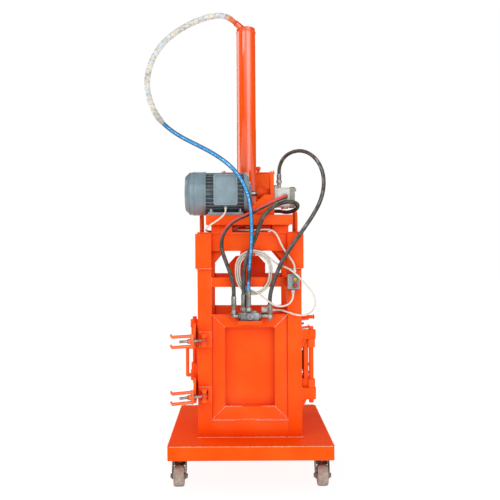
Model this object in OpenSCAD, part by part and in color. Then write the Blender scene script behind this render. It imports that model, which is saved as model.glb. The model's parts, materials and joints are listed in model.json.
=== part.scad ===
/* [Platform] */
// Width of the wheeled platform, left to right
platform_w = 800; // [720:10:1000]
// Depth of the platform, front to back
platform_d = 820; // [740:10:1000]
// Height of the folded skirt
skirt_h = 68; // [50:1:90]
// Thickness of the platform plate
deck_t = 6; // [4:1:8]

/* [Casters] */
// Diameter of a caster wheel
wheel_d = 100; // [90:1:110]
// Width of a wheel's tread
wheel_w = 50; // [40:1:54]
// Height from the floor to the caster's top plate
caster_h = 132; // [128:1:150]
// Side of the square top plate
caster_plate = 100; // [84:1:104]
// Distance of a wheel's axle behind its swivel pin
caster_trail = 30; // [20:1:40]
// Distance of a swivel pin in from the platform's sides
caster_inset_x = 52; // [50:1:90]
// Distance of a swivel pin in from the platform's front and rear
caster_inset_y = 91; // [85:1:130]

/* [Frame] */
// Width and depth of the four post frame, outside
frame_w = 520; // [480:10:560]
// Side of a square post
post = 70; // [60:1:80]
// Wall of a post
post_t = 5; // [3:1:8]
// Height of the posts above the platform
post_h = 1019; // [980:1:1100]
// Height of the beams at the head
head_beam_h = 87; // [70:1:100]
// Height of the cross beams over the window
cross_beam_h = 47; // [40:1:60]
// Height of the cross beams' lower edge above the platform
cross_beam_z = 752; // [740:1:780]
// Leg of the angle sleeves round the head
sleeve_leg = 80; // [76:1:90]
// Height of the angle sleeves
sleeve_h = 175; // [150:1:200]

/* [Panels and doors] */
// Height of the front and rear panels and the doors
panel_h = 615; // [560:5:640]
// Height of the flush plate at the foot of a panel
panel_foot = 88; // [70:1:110]
// Width of the raised strips round a panel
strip_w = 65; // [50:1:80]
// Thickness of a door
door_t = 30; // [24:1:34]
// Diameter of a door's hinge rod
hinge_rod_d = 24; // [18:1:28]

/* [Latches] */
// Distance of the latch pins in front of the posts
latch_reach = 40; // [38:1:46]
// Diameter of a swing bolt
latch_bolt_d = 13; // [12:1:17]
// Length of a swing bolt from its pin
latch_bolt_l = 127; // [115:1:160]
// Angle of the slackened swing bolts, forward of their slots
latch_open = 22; // [22:1:35]
// Angle at which the right door's swing bolts rest, swung back
latch_back = 36; // [22:1:37]
// Length of the two prongs of a hand nut
prong_l = 98; // [70:1:120]

/* [Press] */
// Place of the cylinder, off the middle of the frame
ram_x = -8; // [-12:1:12]
// Outside diameter of the cylinder
barrel_d = 102; // [90:1:108]
// Wall of the cylinder
barrel_t = 8; // [5:1:12]
// Length of the cylinder above the head plate
barrel_l = 1105; // [900:5:1200]
// Diameter of the piston rod
rod_d = 50; // [40:1:60]
// Width of the platen, left to right
platen_w = 400; // [380:2:404]
// Depth of the platen
platen_d = 370; // [340:2:376]
// Height of the raised platen's lower face above the platform
platen_z = 755; // [740:1:770]

/* [Power pack] */
// Height of the motor's shaft above the shelf
motor_axis_h = 112; // [112:1:120]
// Diameter of the fan cowl
cowl_d = 222; // [216:1:223]
// Diameter of the motor body over its fins
motor_fin_d = 212; // [196:1:214]
// Number of cooling fins round the motor
motor_fins = 32; // [20:4:40]
// Width of the oil tank
tank_w = 280; // [240:5:320]
// Height of the oil tank
tank_h = 322; // [260:1:360]
// Outside diameter of the hydraulic hoses
hose_d = 20; // [18:1:24]
// Outside diameter of the electric cables
cable_d = 9; // [7:0.5:9]

/* [Hidden] */
$fn = 40;

// Clearances: a running fit on a pin, a gap beside a moving face, a hair between faces
fit = 0.05;
gap = 1;
seat = 0.3;

deck_z = caster_h + 8 + skirt_h;
head_z = deck_z + post_h;
half = frame_w / 2;
post_c = half - post / 2;
inner = half - post;

// The four corners as signs of X and Y, front left first
CORNERS = [[-1, -1], [1, -1], [-1, 1], [1, 1]];

// Shared shapes

module box_from(low, high) {
  translate(low) cube(high - low);
}

module slab(w, d, h, r) {
  linear_extrude(h) {
    square([w - 2 * r, d], center = true);
    square([w, d - 2 * r], center = true);
    for (sx = [-1, 1], sy = [-1, 1]) translate([sx * (w / 2 - r), sy * (d / 2 - r)]) circle(r);
  }
}

module rod_x(d, x0, x1) {
  translate([x0, 0, 0]) rotate([0, 90, 0]) cylinder(d = d, h = x1 - x0);
}

module rod_y(d, y0, y1) {
  translate([0, y1, 0]) rotate([90, 0, 0]) cylinder(d = d, h = y1 - y0);
}

module ring(od, id, h) {
  difference() {
    cylinder(d = od, h = h);
    translate([0, 0, -1]) cylinder(d = id, h = h + 2);
  }
}

module hex_head(across, h) {
  cylinder(d = across / cos(30), h = h, $fn = 6);
}

// A hexagon bolt head on a washer, standing on the face at its origin
module bolt_head(size) {
  cylinder(d = 2 * size, h = 0.2 * size);
  translate([0, 0, 0.2 * size]) hex_head(1.6 * size, 0.65 * size);
}

// Sweep of a round section along a route, one ring at each point
function unit(v) = v / norm(v);
function route_tangents(p) =
  [for (i = [0:len(p) - 1]) unit(p[min(i + 1, len(p) - 1)] - p[max(i - 1, 0)])];
function route_normals(t, i, n) =
  i >= len(t) ? [] : let (m = unit(n - (n * t[i]) * t[i])) concat([m], route_normals(t, i + 1, m));

module cord_tube(p, d, sides = 8) {
  t = route_tangents(p);
  n = route_normals(t, 0, abs(t[0].z) < 0.9 ? [0, 0, 1] : [1, 0, 0]);
  r = d / 2 / cos(90 / sides);
  last = len(p) - 1;
  points = [for (i = [0:last], k = [0:sides - 1])
    p[i] + r * (cos(360 * k / sides) * n[i] + sin(360 * k / sides) * cross(t[i], n[i]))];
  walls = [for (i = [0:last - 1], k = [0:sides - 1]) let (j = (k + 1) % sides)
    each [[i * sides + k, (i + 1) * sides + k, i * sides + j],
          [i * sides + j, (i + 1) * sides + k, (i + 1) * sides + j]]];
  caps = [[for (k = [0:sides - 1]) k], [for (k = [sides - 1:-1:0]) last * sides + k]];
  polyhedron(points = points, faces = concat(walls, caps), convexity = 6);
}

// Platform: one plate folded down on four sides, with two stiffening bars under it

skirt_r = 10;
platform_rib = [platform_w - 240, 40, 8];

module platform() {
  color("orangered") translate([0, 0, deck_z - skirt_h]) {
    difference() {
      slab(platform_w, platform_d, skirt_h, skirt_r);
      translate([0, 0, -1])
        slab(platform_w - 2 * deck_t, platform_d - 2 * deck_t, skirt_h - deck_t + 1, skirt_r - deck_t + 1);
    }
    for (sy = [-1, 1])
      translate([0, sy * post_c, skirt_h - deck_t - platform_rib.y / 2])
        cube([platform_rib.x, platform_rib.z, platform_rib.y], center = true);
  }
}

// Casters

fork_t = 5;
fork_in = wheel_w + 10;
fork_top = 6;
race_h = 6;
kingpin_d = 14;
fork_z = caster_h - race_h - fork_top;
axle_d = 12;
swivel_x = platform_w / 2 - caster_inset_x;
swivel_y = platform_d / 2 - caster_inset_y;

function swivel(c) = [c.x * swivel_x, c.y * swivel_y, 0];

// Plate, block up to the deck and king pin of one caster
module caster_mount() {
  translate([0, 0, caster_h]) slab(caster_plate, caster_plate, 8, 6);
  translate([0, 0, caster_h + 8]) ring(60, 48, skirt_h - deck_t);
  translate([0, 0, fork_z - 5]) cylinder(d = kingpin_d, h = race_h + fork_top + 5);
  translate([0, 0, fork_z - 5 - 8]) hex_head(22, 8);
}

module caster_mounts() {
  color("orangered") for (c = CORNERS) translate(swivel(c)) caster_mount();
}

// Swivel fork with the axle bolt fixed through its legs
module caster_fork(c) {
  leg_top = fork_z;
  color("gray") translate(swivel(c)) {
    translate([0, 0, fork_z]) difference() {
      union() {
        slab(fork_in + 2 * fork_t, 62, fork_top, 8);
        translate([0, 0, fork_top]) cylinder(d = 56, h = race_h - seat);
      }
      translate([0, 0, -1]) cylinder(d = kingpin_d + 2 * fit, h = race_h + fork_top + 2);
    }
    for (s = [-1, 1])
      translate([s * (fork_in / 2 + fork_t / 2), 0, 0]) rotate([90, 0, 90])
        linear_extrude(fork_t, center = true) {
          polygon([[-31, leg_top], [31, leg_top], [-caster_trail + 15, wheel_d / 2 - 6],
            [-caster_trail - 15, wheel_d / 2 - 6]]);
          translate([-caster_trail, wheel_d / 2]) circle(16);
        }
    translate([0, -caster_trail, wheel_d / 2]) {
      rod_x(axle_d, -fork_in / 2 - fork_t - 6, fork_in / 2 + fork_t + 6);
      for (s = [0, 180]) rotate([0, 0, s]) translate([fork_in / 2 + fork_t, 0, 0])
        rotate([0, 90, 0]) hex_head(19, 7);
    }
  }
}

module caster_fork_fl() { caster_fork(CORNERS[0]); }
module caster_fork_fr() { caster_fork(CORNERS[1]); }
module caster_fork_rl() { caster_fork(CORNERS[2]); }
module caster_fork_rr() { caster_fork(CORNERS[3]); }

// Wheel: crowned tread, dished sides and a hub that runs on the axle
module caster_wheel(c) {
  r = wheel_d / 2;
  w = wheel_w / 2;
  hub = fork_in / 2 - gap;
  color("tan") translate(swivel(c) + [0, -caster_trail, r]) rotate([0, 90, 0])
    rotate_extrude($fn = 64) polygon([
      [axle_d / 2 + fit, -hub], [14, -hub], [14, 4 - w], [r - 14, 4 - w], [r - 10, -w],
      [r - 4, -w], [r - 1, 5 - w], [r, 12 - w], [r, w - 12], [r - 1, w - 5], [r - 4, w],
      [r - 10, w], [r - 14, w - 4], [14, w - 4], [14, hub], [axle_d / 2 + fit, hub]]);
}

module caster_wheel_fl() { caster_wheel(CORNERS[0]); }
module caster_wheel_fr() { caster_wheel(CORNERS[1]); }
module caster_wheel_rl() { caster_wheel(CORNERS[2]); }
module caster_wheel_rr() { caster_wheel(CORNERS[3]); }

// Frame

module corner_posts() {
  color("orangered") for (c = CORNERS) translate([c.x * post_c, c.y * post_c, deck_z])
    linear_extrude(post_h) difference() {
      square(post, center = true);
      square(post - 2 * post_t, center = true);
    }
}

beam_d = 50;
beam_in = 5;
beam_t = 5;
gusset_t = 10;
gusset_leg = 62;
hook_d = 8;
hook_x = 25;
hook_reach = 21;

// A hollow beam between two posts, its length along X
module beam(h) {
  linear_extrude(h) difference() {
    translate([-inner, half - beam_in - beam_d]) square([2 * inner, beam_d]);
    translate([-inner - 1, half - beam_in - beam_d + beam_t])
      square([2 * inner + 2, beam_d - 2 * beam_t]);
  }
}

module frame_beams() {
  color("orangered") {
    for (a = [0:90:270]) rotate([0, 0, a]) translate([0, 0, head_z - head_beam_h]) beam(head_beam_h);
    for (a = [0, 180]) rotate([0, 0, a]) {
      translate([0, 0, deck_z + cross_beam_z]) beam(cross_beam_h);
      for (s = [-1, 1])
        translate([0, half - beam_in - beam_d / 2, head_z - head_beam_h]) rotate([90, 0, 0])
          linear_extrude(gusset_t, center = true)
            polygon([[s * inner, 0], [s * (inner - gusset_leg), 0], [s * inner, -gusset_leg * 1.2]]);
    }
    translate([hook_x, 0, coil_top - coil_band - hook_d / 2]) {
      rod_y(hook_d, -half - hook_reach, beam_in - half);
      translate([0, hook_d / 2 - half - hook_reach, 0]) cylinder(d = hook_d, h = coil_band / 2);
    }
  }
}

sleeve_t = 10;

module corner_sleeves() {
  color("orangered") for (c = CORNERS)
    translate([c.x * (half + sleeve_t), c.y * (half + sleeve_t), head_z - sleeve_h])
      linear_extrude(sleeve_h) scale([-c.x, -c.y]) difference() {
        square(sleeve_leg);
        translate([sleeve_t, sleeve_t]) square(sleeve_leg);
      }
}

// Panel: back plate, flush foot plate and four mitred strips with a return round the recess

panel_step = 8;
panel_depth = 47;
panel_t = 8;
foot_gap = 3;

module panel_strip(w, h) {
  in_x = w / 2 - strip_w;
  in_z = h / 2 - strip_w;
  for (s = [-1, 1]) {
    polygon([[s * w / 2, -h / 2], [s * w / 2, h / 2], [s * in_x, in_z], [s * in_x, -in_z]]);
    polygon([[-w / 2, s * h / 2], [w / 2, s * h / 2], [in_x, s * in_z], [-in_x, s * in_z]]);
  }
}

module panel() {
  w = 2 * inner;
  h = panel_h - panel_foot;
  mid = deck_z + panel_foot + h / 2;
  face = panel_step - half;
  translate([0, face, mid]) rotate([-90, 0, 0]) {
    linear_extrude(panel_t) panel_strip(w, h);
    linear_extrude(panel_depth) difference() {
      square([w - 2 * strip_w + 2 * panel_t, h - 2 * strip_w + 2 * panel_t], center = true);
      square([w - 2 * strip_w, h - 2 * strip_w], center = true);
    }
  }
  box_from([-inner, face + panel_depth - panel_t, deck_z + foot_gap],
    [inner, face + panel_depth, deck_z + panel_h]);
  box_from([-inner, -half, deck_z + foot_gap], [inner, face + panel_t, deck_z + panel_foot]);
  box_from([-inner, face + panel_t, deck_z + panel_h - panel_t],
    [inner, face + panel_depth - panel_t, deck_z + panel_h]);
}

tray_w = 116;
tray_z = deck_z + panel_h - 33;
tray_t = 6;
tray_reach = 66;

// Front panel with the tray that carries the valve
module front_panel() {
  color("orangered") {
    panel();
    translate([0, panel_step - half, tray_z]) {
      box_from([-tray_w / 2, -tray_reach, 0], [tray_w / 2, 0, tray_t]);
      box_from([-tray_w / 2, -tray_reach, -12], [tray_w / 2, tray_t - tray_reach, 0]);
    }
  }
}

module rear_panel() {
  color("orangered") rotate([0, 0, 180]) panel();
}

// Doors: both sides open, the right one is the left one turned half a turn

door_gap = 3;
door_out = -half;
door_in = door_out + door_t;
hinge_out = 48;
hinge_x = -half - hinge_out;
hinge_y = 240;
door_rear = inner - door_gap;
door_front = hinge_y - sqrt(pow(hinge_y + inner - door_gap, 2) - pow(door_in - hinge_x, 2));
door_z0 = deck_z + foot_gap;
door_skin = 5;
door_bar = 45;
hinge_z0 = 378;
hinge_z1 = 760;
knuckle_d = 48;
knuckle_lower = [396, 454];
knuckle_upper = [698, 743];
arm_h = 42;
arm_d = 40;
handle_d = 18;
handle_z = [501, 644];
handle_y = -150;
handle_out = door_out - 60;

// Skin on the chamber side, four edge bars and two ribs
module door() {
  h = panel_h - foot_gap;
  box_from([door_in - door_skin, door_front, door_z0], [door_in, door_rear, door_z0 + h]);
  for (y = [door_front, door_rear - door_bar])
    box_from([door_out, y, door_z0], [door_in - door_skin, y + door_bar, door_z0 + h]);
  for (i = [0:3])
    box_from([door_out, door_front + door_bar, door_z0 + i * (h - door_bar) / 3],
      [door_in - door_skin, door_rear - door_bar, door_z0 + i * (h - door_bar) / 3 + door_bar]);
}

module left_door() { color("orangered") door(); }
module right_door() { color("orangered") rotate([0, 0, 180]) door(); }

// Latch places, on the left side
latch_x = -227;
latch_y = -half - latch_reach;
latch_zs = [700, 425];
eye_h = 18;
eye_d = 32;
latch_pin_d = 14;
lug_t = 12;
lug_x = -275;
slot_h = latch_bolt_d + 2;
lug_tip = latch_bolt_d / 2 + 1;

// Slotted lug on the door's front edge: a plate on edge with a tapered foot
module door_lug() {
  root = door_front + 60;
  translate([lug_x, 0, 0]) rotate([90, 0, 90]) linear_extrude(lug_t, center = true) difference() {
    polygon([[root, 50], [20 - half, 78], [-half - 2, 78], [latch_y - lug_tip, 34],
      [latch_y - lug_tip, -34], [-half - 2, -44], [20 - half, -44], [root, -30]]);
    translate([latch_y - lug_tip - 1, -slot_h / 2]) square([2 * lug_tip + 1, slot_h]);
  }
  box_from([lug_x, door_front, -28], [door_out, root, 46]);
}

leaf_t = 22;

// Hinge arms joined by a leaf, latch lugs and pull handle welded on a door
module door_irons() {
  arm_y = door_rear - 45;
  box_from([hinge_x + 14, hinge_y - 70, knuckle_lower.y + seat],
    [hinge_x + 14 + leaf_t, hinge_y - 4, knuckle_upper.x - seat]);
  box_from([hinge_x + 14 + leaf_t / 2, hinge_y - 88, handle_z.x + 35],
    [door_out, door_rear - 1, handle_z.y - 17]);
  for (z = [knuckle_lower.y + seat, knuckle_upper.x - arm_h - seat]) translate([0, 0, z]) difference() {
    union() {
      translate([hinge_x, hinge_y, 0]) cylinder(d = arm_d, h = arm_h);
      box_from([hinge_x - 10, arm_y, 0], [-half - 2, hinge_y, arm_h]);
      box_from([hinge_x - 10, arm_y, 0], [door_out, door_rear - 1, arm_h]);
    }
    translate([hinge_x, hinge_y, -1]) cylinder(d = hinge_rod_d + 2 * fit, h = arm_h + 2);
  }
  for (z = latch_zs) translate([0, 0, z]) door_lug();
  translate([0, handle_y, 0]) {
    for (z = handle_z) translate([0, 0, z]) rod_x(handle_d, handle_out, door_out);
    translate([handle_out, 0, handle_z.x]) cylinder(d = handle_d, h = handle_z.y - handle_z.x);
    for (z = handle_z) translate([handle_out, 0, z]) sphere(d = handle_d);
  }
}

module left_door_irons() { color("orangered") door_irons(); }
module right_door_irons() { color("orangered") rotate([0, 0, 180]) door_irons(); }

// Hinge rod and its two knuckles, welded to a post
module hinge_rod() {
  translate([hinge_x, hinge_y, hinge_z0]) cylinder(d = hinge_rod_d, h = hinge_z1 - hinge_z0);
  for (k = [knuckle_lower, knuckle_upper]) translate([0, 0, k.x]) {
    translate([hinge_x, hinge_y, 0]) cylinder(d = knuckle_d, h = k.y - k.x);
    box_from([hinge_x, hinge_y - 20, 0], [-half, hinge_y + 20, k.y - k.x]);
  }
  for (k = [knuckle_lower, knuckle_upper]) translate([0, hinge_y + 14, k.x]) rotate([90, 0, 0])
    linear_extrude(10) polygon([[-half, -52], [-half, 0], [-half - 24, 0], [-half - 18, -14]]);
}

module hinge_rods() {
  color("orangered") for (a = [0, 180]) rotate([0, 0, a]) hinge_rod();
}

// Latches

ear_h = 31;
latch_plate = [62, 6, 74];

// Plate on the post, two flared ears and the pin of one latch
module latch_bracket() {
  box_from([latch_x - 28, -half - latch_plate.y, -latch_plate.z / 2],
    [latch_x - 28 + latch_plate.x, -half, latch_plate.z / 2]);
  low = eye_h / 2 + seat;
  for (s = [0, 1]) mirror([0, 0, s]) {
    translate([0, -half - latch_plate.y, 0]) rotate([90, 0, 0])
      linear_extrude(-half - latch_plate.y - latch_y)
        polygon([[latch_x - 9, low], [latch_x + 9, low], [latch_x + 16, ear_h], [latch_x - 16, ear_h]]);
    translate([latch_x, latch_y, low]) cylinder(d1 = 20, d2 = 30, h = ear_h - low);
  }
  translate([latch_x, latch_y, 4 - ear_h]) cylinder(d = latch_pin_d, h = 2 * ear_h - 8);
}

module latch_brackets() {
  color("orangered") for (a = [0, 180], z = latch_zs)
    rotate([0, 0, a]) translate([0, 0, z]) latch_bracket();
}

// Moves a latch piece, drawn along -X from its pin, to its place
module at_latch(side, z) {
  rotate([0, 0, side == "left" ? 0 : 180]) translate([latch_x, latch_y, z])
    rotate([0, 0, side == "left" ? latch_open : latch_back]) children();
}

module swing_bolt() {
  color("silver") difference() {
    union() {
      translate([0, 0, -eye_h / 2]) cylinder(d = eye_d, h = eye_h);
      rod_x(latch_bolt_d, -latch_bolt_l, 0);
    }
    translate([0, 0, -eye_h / 2 - 1]) cylinder(d = latch_pin_d + 2 * fit, h = eye_h + 2);
  }
}

nut_near = 58;
nut_bar = [10, 20, 68];
nut_boss_l = 16;
prong_d = 16;
prong_c = nut_bar.z / 2 - prong_d / 2 - 1;

// Hand nut: a cross bar and a boss on the bolt, with two prongs to turn it by
module hand_nut() {
  color("orangered") difference() {
    union() {
      translate([-nut_near - nut_bar.x / 2, 0, 0]) cube(nut_bar, center = true);
      rod_x(latch_bolt_d + 12, -nut_near - nut_bar.x - nut_boss_l, -nut_near - nut_bar.x);
      for (s = [-1, 1]) translate([0, 0, s * prong_c]) {
        rod_x(prong_d, -nut_near - nut_bar.x - prong_l, -nut_near - nut_bar.x);
        translate([-nut_near - nut_bar.x - prong_l, 0, 0])
          rotate([0, -15, 0]) cylinder(d = prong_d - 5, h = 14);
      }
    }
    rod_x(latch_bolt_d + 2 * fit, -nut_near - nut_bar.x - nut_boss_l - 1, 1 - nut_near);
  }
}

module latch_bolt_left_upper() { at_latch("left", latch_zs[0]) swing_bolt(); }
module latch_bolt_left_lower() { at_latch("left", latch_zs[1]) swing_bolt(); }
module latch_bolt_right_upper() { at_latch("right", latch_zs[0]) swing_bolt(); }
module latch_bolt_right_lower() { at_latch("right", latch_zs[1]) swing_bolt(); }
module hand_nut_left_upper() { at_latch("left", latch_zs[0]) hand_nut(); }
module hand_nut_left_lower() { at_latch("left", latch_zs[1]) hand_nut(); }
module hand_nut_right_upper() { at_latch("right", latch_zs[0]) hand_nut(); }
module hand_nut_right_lower() { at_latch("right", latch_zs[1]) hand_nut(); }

// Peg that stands out of the right post
peg_z = deck_z + panel_h - 17;

module cable_peg() {
  color("orangered") translate([0, -225, peg_z]) {
    rod_x(18, half, half + 62);
    rod_x(26, half + 62, half + 66);
  }
}

// Press

head_t = 8;
gland_d = 74;
gland_low = head_z - 115;
hub_top = gland_low - gap;
platen_low = deck_z + platen_z;
platen_t = 25;
hub_t = 30;
rod_top = head_z + barrel_l - 60;
piston_h = 60;

// Platen: plate, two crossed gusset plates and a socket for the rod
module platen() {
  color("orangered") translate([0, 0, platen_low]) {
    translate([-platen_w / 2, -platen_d / 2, 0]) cube([platen_w, platen_d, platen_t]);
    h = hub_top - platen_low - platen_t;
    translate([ram_x, 0, platen_t]) {
      for (a = [0, 90]) rotate([90, 0, a]) linear_extrude(hub_t, center = true)
        polygon([[-120, 0], [120, 0], [120, 18], [97, 26], [97, h - 40], [60, h], [-60, h], [-97, h - 40],
          [-97, 26], [-120, 18]]);
    }
  }
}

module ram_rod() {
  color("silver") translate([ram_x, 0, hub_top]) {
    cylinder(d = rod_d, h = rod_top - piston_h - hub_top);
    translate([0, 0, rod_top - piston_h - hub_top])
      cylinder(d = barrel_d - 2 * barrel_t - 2 * fit, h = piston_h);
  }
}

flange_d = 150;
flange_t = 22;
barrel_z = head_z + head_t + flange_t;
cap_t = 25;
top_port = [[ram_x, 0, head_z + barrel_l - 15], [-0.75, -0.43, 0.5]];
low_port_z = head_z + 123;

// Points a cylinder along a direction
module along(v) {
  rotate([0, acos(v.z / norm(v)), atan2(v.y, v.x)]) children();
}

// Barrel with its end cap, weld bead and two port bosses
module cylinder_barrel() {
  bore = barrel_d - 2 * barrel_t;
  top = head_z + barrel_l;
  color("orangered") difference() {
    union() {
      translate([ram_x, 0, barrel_z]) cylinder(d = barrel_d, h = top - cap_t - barrel_z, $fn = 64);
      translate([ram_x, 0, top - cap_t]) rotate_extrude($fn = 64) polygon([[0, 0], [barrel_d / 2, 0],
        [barrel_d / 2 + 2, 2], [barrel_d / 2 + 2, 5], [barrel_d / 2, 7], [barrel_d / 2, cap_t - 3],
        [barrel_d / 2 - 3, cap_t], [0, cap_t]]);
      translate([ram_x, 0, low_port_z]) rod_x(32, 0, barrel_d / 2 + 20);
      translate(top_port[0]) along(top_port[1]) cylinder(d = 32, h = barrel_d / 2 + 22);
    }
    translate([ram_x, 0, barrel_z - 1]) cylinder(d = bore, h = top - cap_t - barrel_z + 1);
  }
}

// Gland: flange on the head plate with a nose that guides the rod below it
module cylinder_gland() {
  color("orangered") difference() {
    union() {
      translate([ram_x, 0, head_z + head_t]) cylinder(d = flange_d, h = flange_t, $fn = 64);
      translate([ram_x, 0, gland_low]) cylinder(d = gland_d, h = head_z + head_t - gland_low);
    }
    translate([ram_x, 0, gland_low - 1])
      cylinder(d = rod_d + 2 * fit, h = head_z - gland_low + head_t + flange_t + 2);
  }
}

module head_plate() {
  color("orangered") translate([0, 0, head_z]) linear_extrude(head_t) difference() {
    square(frame_w, center = true);
    translate([ram_x, 0]) circle(d = gland_d);
  }
}

cheek_t = 14;
cheek_h = 110;
cheek_x = 250;
cheek_y = [-95, 85];

module cylinder_cheeks() {
  color("orangered") for (s = [-1, 1]) translate([s * cheek_x, 0, head_z + head_t]) rotate([90, 0, 90])
    linear_extrude(cheek_t, center = true)
      polygon([[cheek_y[0], 0], [cheek_y[1], 0], [cheek_y[1], cheek_h - 30], [cheek_y[1] - 30, cheek_h],
        [cheek_y[0] + 30, cheek_h], [cheek_y[0], cheek_h - 30]]);
}

// Power pack

shelf_z = head_z + head_t + 35;
shelf_top = shelf_z + 50;
shelf_y = [-290, -90];
shelf_w = 430;
shelf_t = 6;
blocks = [[-190, -85], [116, 196]];
motor_y = -190;
axis_z = shelf_top + motor_axis_h;

// Channel shelf on two cross blocks
module motor_shelf() {
  color("orangered") {
    translate([0, 0, shelf_z]) {
      box_from([-shelf_w / 2, shelf_y[0], 50 - shelf_t], [shelf_w / 2, shelf_y[1], 50]);
      for (y = [shelf_y[0], shelf_y[1] - shelf_t])
        box_from([-shelf_w / 2, y, 0], [shelf_w / 2, y + shelf_t, 50 - shelf_t]);
    }
    for (b = blocks) translate([0, 0, head_z + head_t]) difference() {
      box_from([b.x, -half, 0], [b.y, shelf_y[1], 35]);
      box_from([b.x - 1, 5 - half, -1], [b.y + 1, shelf_y[1] - 5, 30]);
    }
  }
}

cowl_x = [-321, -218];
cowl_t = 3;
body_x = [-218, -26];
bell_x = [-26, 14];
motor_core_d = motor_fin_d - 26;
motor_shaft_d = 28;
shaft_end = 66;
foot_x = [-205, -30];
foot_t = 12;
foot_w = 196;

// Cast motor body: core, straight fins, drive-end bell, feet and the seat of the terminal box
module motor_body() {
  color("lightslategray") difference() {
    translate([0, motor_y, axis_z]) {
      rod_x(motor_core_d, body_x[0], body_x[1]);
      for (i = [0:motor_fins - 1]) rotate([360 * (i + 0.5) / motor_fins, 0, 0])
        box_from([body_x[0] + 4, -1.5, motor_core_d / 2 - 2], [body_x[1] - 2, 1.5, motor_fin_d / 2]);
      rotate([0, 90, 0]) rotate_extrude($fn = 64) polygon([[0, bell_x[0]], [motor_fin_d / 2 + 2, bell_x[0]],
        [motor_fin_d / 2 + 2, bell_x[0] + 14], [motor_fin_d / 2 - 10, bell_x[0] + 26],
        [50, bell_x[0] + 26], [44, bell_x[0] + 32], [40, bell_x[1]], [0, bell_x[1]]]);
      rod_x(cowl_d - 2 * cowl_t - 2 * seat, body_x[0] - 18, body_x[0] + 4);
      for (s = [-1, 1])
        box_from([foot_x[0], s * foot_w / 2 - 25 - s * 25, -motor_axis_h],
          [foot_x[1], s * foot_w / 2 + 25 - s * 25, foot_t - motor_axis_h]);
      for (s = [-1, 1], x = [foot_x[0] + 20, foot_x[0] + 85, foot_x[1] - 20])
        box_from([x - 5, s * 55 - 5, foot_t - motor_axis_h], [x + 5, s * 55 + 5, -50]);
      box_from([-170, tbox_back - motor_y, -47], [-65, -70, 80]);
    }
    translate([0, motor_y, axis_z]) rod_x(motor_shaft_d + 2 * fit, -400, 400);
  }
}

// Fan cowl: a drawn cup with a chamfered end, a bead and a ring grille
module motor_cowl() {
  r = cowl_d / 2;
  color("lightslategray") difference() {
    translate([0, motor_y, axis_z]) rotate([0, 90, 0]) rotate_extrude($fn = 64) polygon([
      [24, cowl_x[0]], [r - 24, cowl_x[0]], [r - 4, cowl_x[0] + 22], [r - 1, cowl_x[0] + 40],
      [r, cowl_x[0] + 42], [r, cowl_x[1]], [r - cowl_t, cowl_x[1]], [r - cowl_t, cowl_x[0] + 42],
      [r - 7, cowl_x[0] + 24], [r - 26, cowl_x[0] + cowl_t], [24, cowl_x[0] + cowl_t]]);
    translate([cowl_x[0] - 1, motor_y, axis_z]) for (a = [0:30:330], d = [34, 48, 62]) rotate([a, 0, 0])
      translate([0, 0, d]) rotate([0, 90, 0]) cylinder(d = 8, h = 5, $fn = 16);
  }
}

// Shaft through the motor, with the fan on its rear end
module motor_shaft() {
  color("silver") translate([0, motor_y, axis_z]) {
    rod_x(motor_shaft_d, cowl_x[0] + 20, shaft_end);
    difference() {
      rod_x(46, cowl_x[0] + 30, cowl_x[1] - 20);
      rod_x(motor_shaft_d - 1, cowl_x[0] + 29, cowl_x[1] - 19);
    }
    for (i = [0:6]) rotate([360 * i / 7, 0, 0])
      box_from([cowl_x[0] + 34, -1.5, 22], [cowl_x[1] - 24, 1.5, motor_fin_d / 2 - 20]);
  }
}

tbox_x = [-175, -58];
tbox_z = [1365, 1517];
tbox_y = -340;
tbox_back = motor_y - motor_fin_d / 2 - 2;

module tbox_outline(inset) {
  w = tbox_x[1] - tbox_x[0] - 2 * inset;
  h = tbox_z[1] - tbox_z[0] - 2 * inset;
  r = 12 - inset / 2;
  square([w - 2 * r, h], center = true);
  square([w, h - 2 * r], center = true);
  for (sx = [-1, 1], sz = [-1, 1]) translate([sx * (w / 2 - r), sz * (h / 2 - r)]) circle(r, $fn = 24);
}

// Terminal box: rounded body, proud lid with an inset field, and the cable gland below
module terminal_box() {
  mid = [(tbox_x[0] + tbox_x[1]) / 2, 0, (tbox_z[0] + tbox_z[1]) / 2];
  color("lightslategray") {
    translate(mid + [0, tbox_back, 0]) rotate([90, 0, 0]) {
      linear_extrude(tbox_back - tbox_y - 12) tbox_outline(4);
      difference() {
        translate([0, 0, tbox_back - tbox_y - 12]) linear_extrude(12) tbox_outline(0);
        translate([0, 0, tbox_back - tbox_y - 3]) linear_extrude(4) tbox_outline(7);
      }
    }
    translate([mid.x, -318, tbox_z[0] - 10]) cylinder(d = 18, h = 14);
  }
}

coupling_x = [42, 106];
coupling_d = 52;

// Sleeve coupling with its two set-screw collars
module coupling() {
  color("orangered") difference() {
    translate([0, motor_y, axis_z]) {
      rod_x(coupling_d, coupling_x[0], coupling_x[1]);
      translate([74, 0, coupling_d / 2 - 2]) cylinder(d = 12, h = 14);
    }
    translate([0, motor_y, axis_z]) {
      rod_x(motor_shaft_d, coupling_x[0] - 1, shaft_end + 2);
      rod_x(20, shaft_end, coupling_x[1] + 1);
    }
  }
}

bracket_x = [107, 125];
bracket_z = shelf_top + 209;
pump_x = [bracket_x[1], 237];

// Upright plate with side gussets that holds the pump in line with the motor
module pump_bracket() {
  color("orangered") difference() {
    union() {
      box_from([bracket_x[0], -262, shelf_top], [bracket_x[1], -118, bracket_z]);
      for (y = [-272, -118]) translate([bracket_x[0] - 90, y + 10, shelf_top]) rotate([90, 0, 0])
        linear_extrude(10) polygon([[0, 0], [108, 0], [108, 100], [60, 100], [0, 46]]);
    }
    translate([0, motor_y, axis_z]) rod_x(spigot_d, bracket_x[0] - 1, bracket_x[1] + 1);
  }
}

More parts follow.
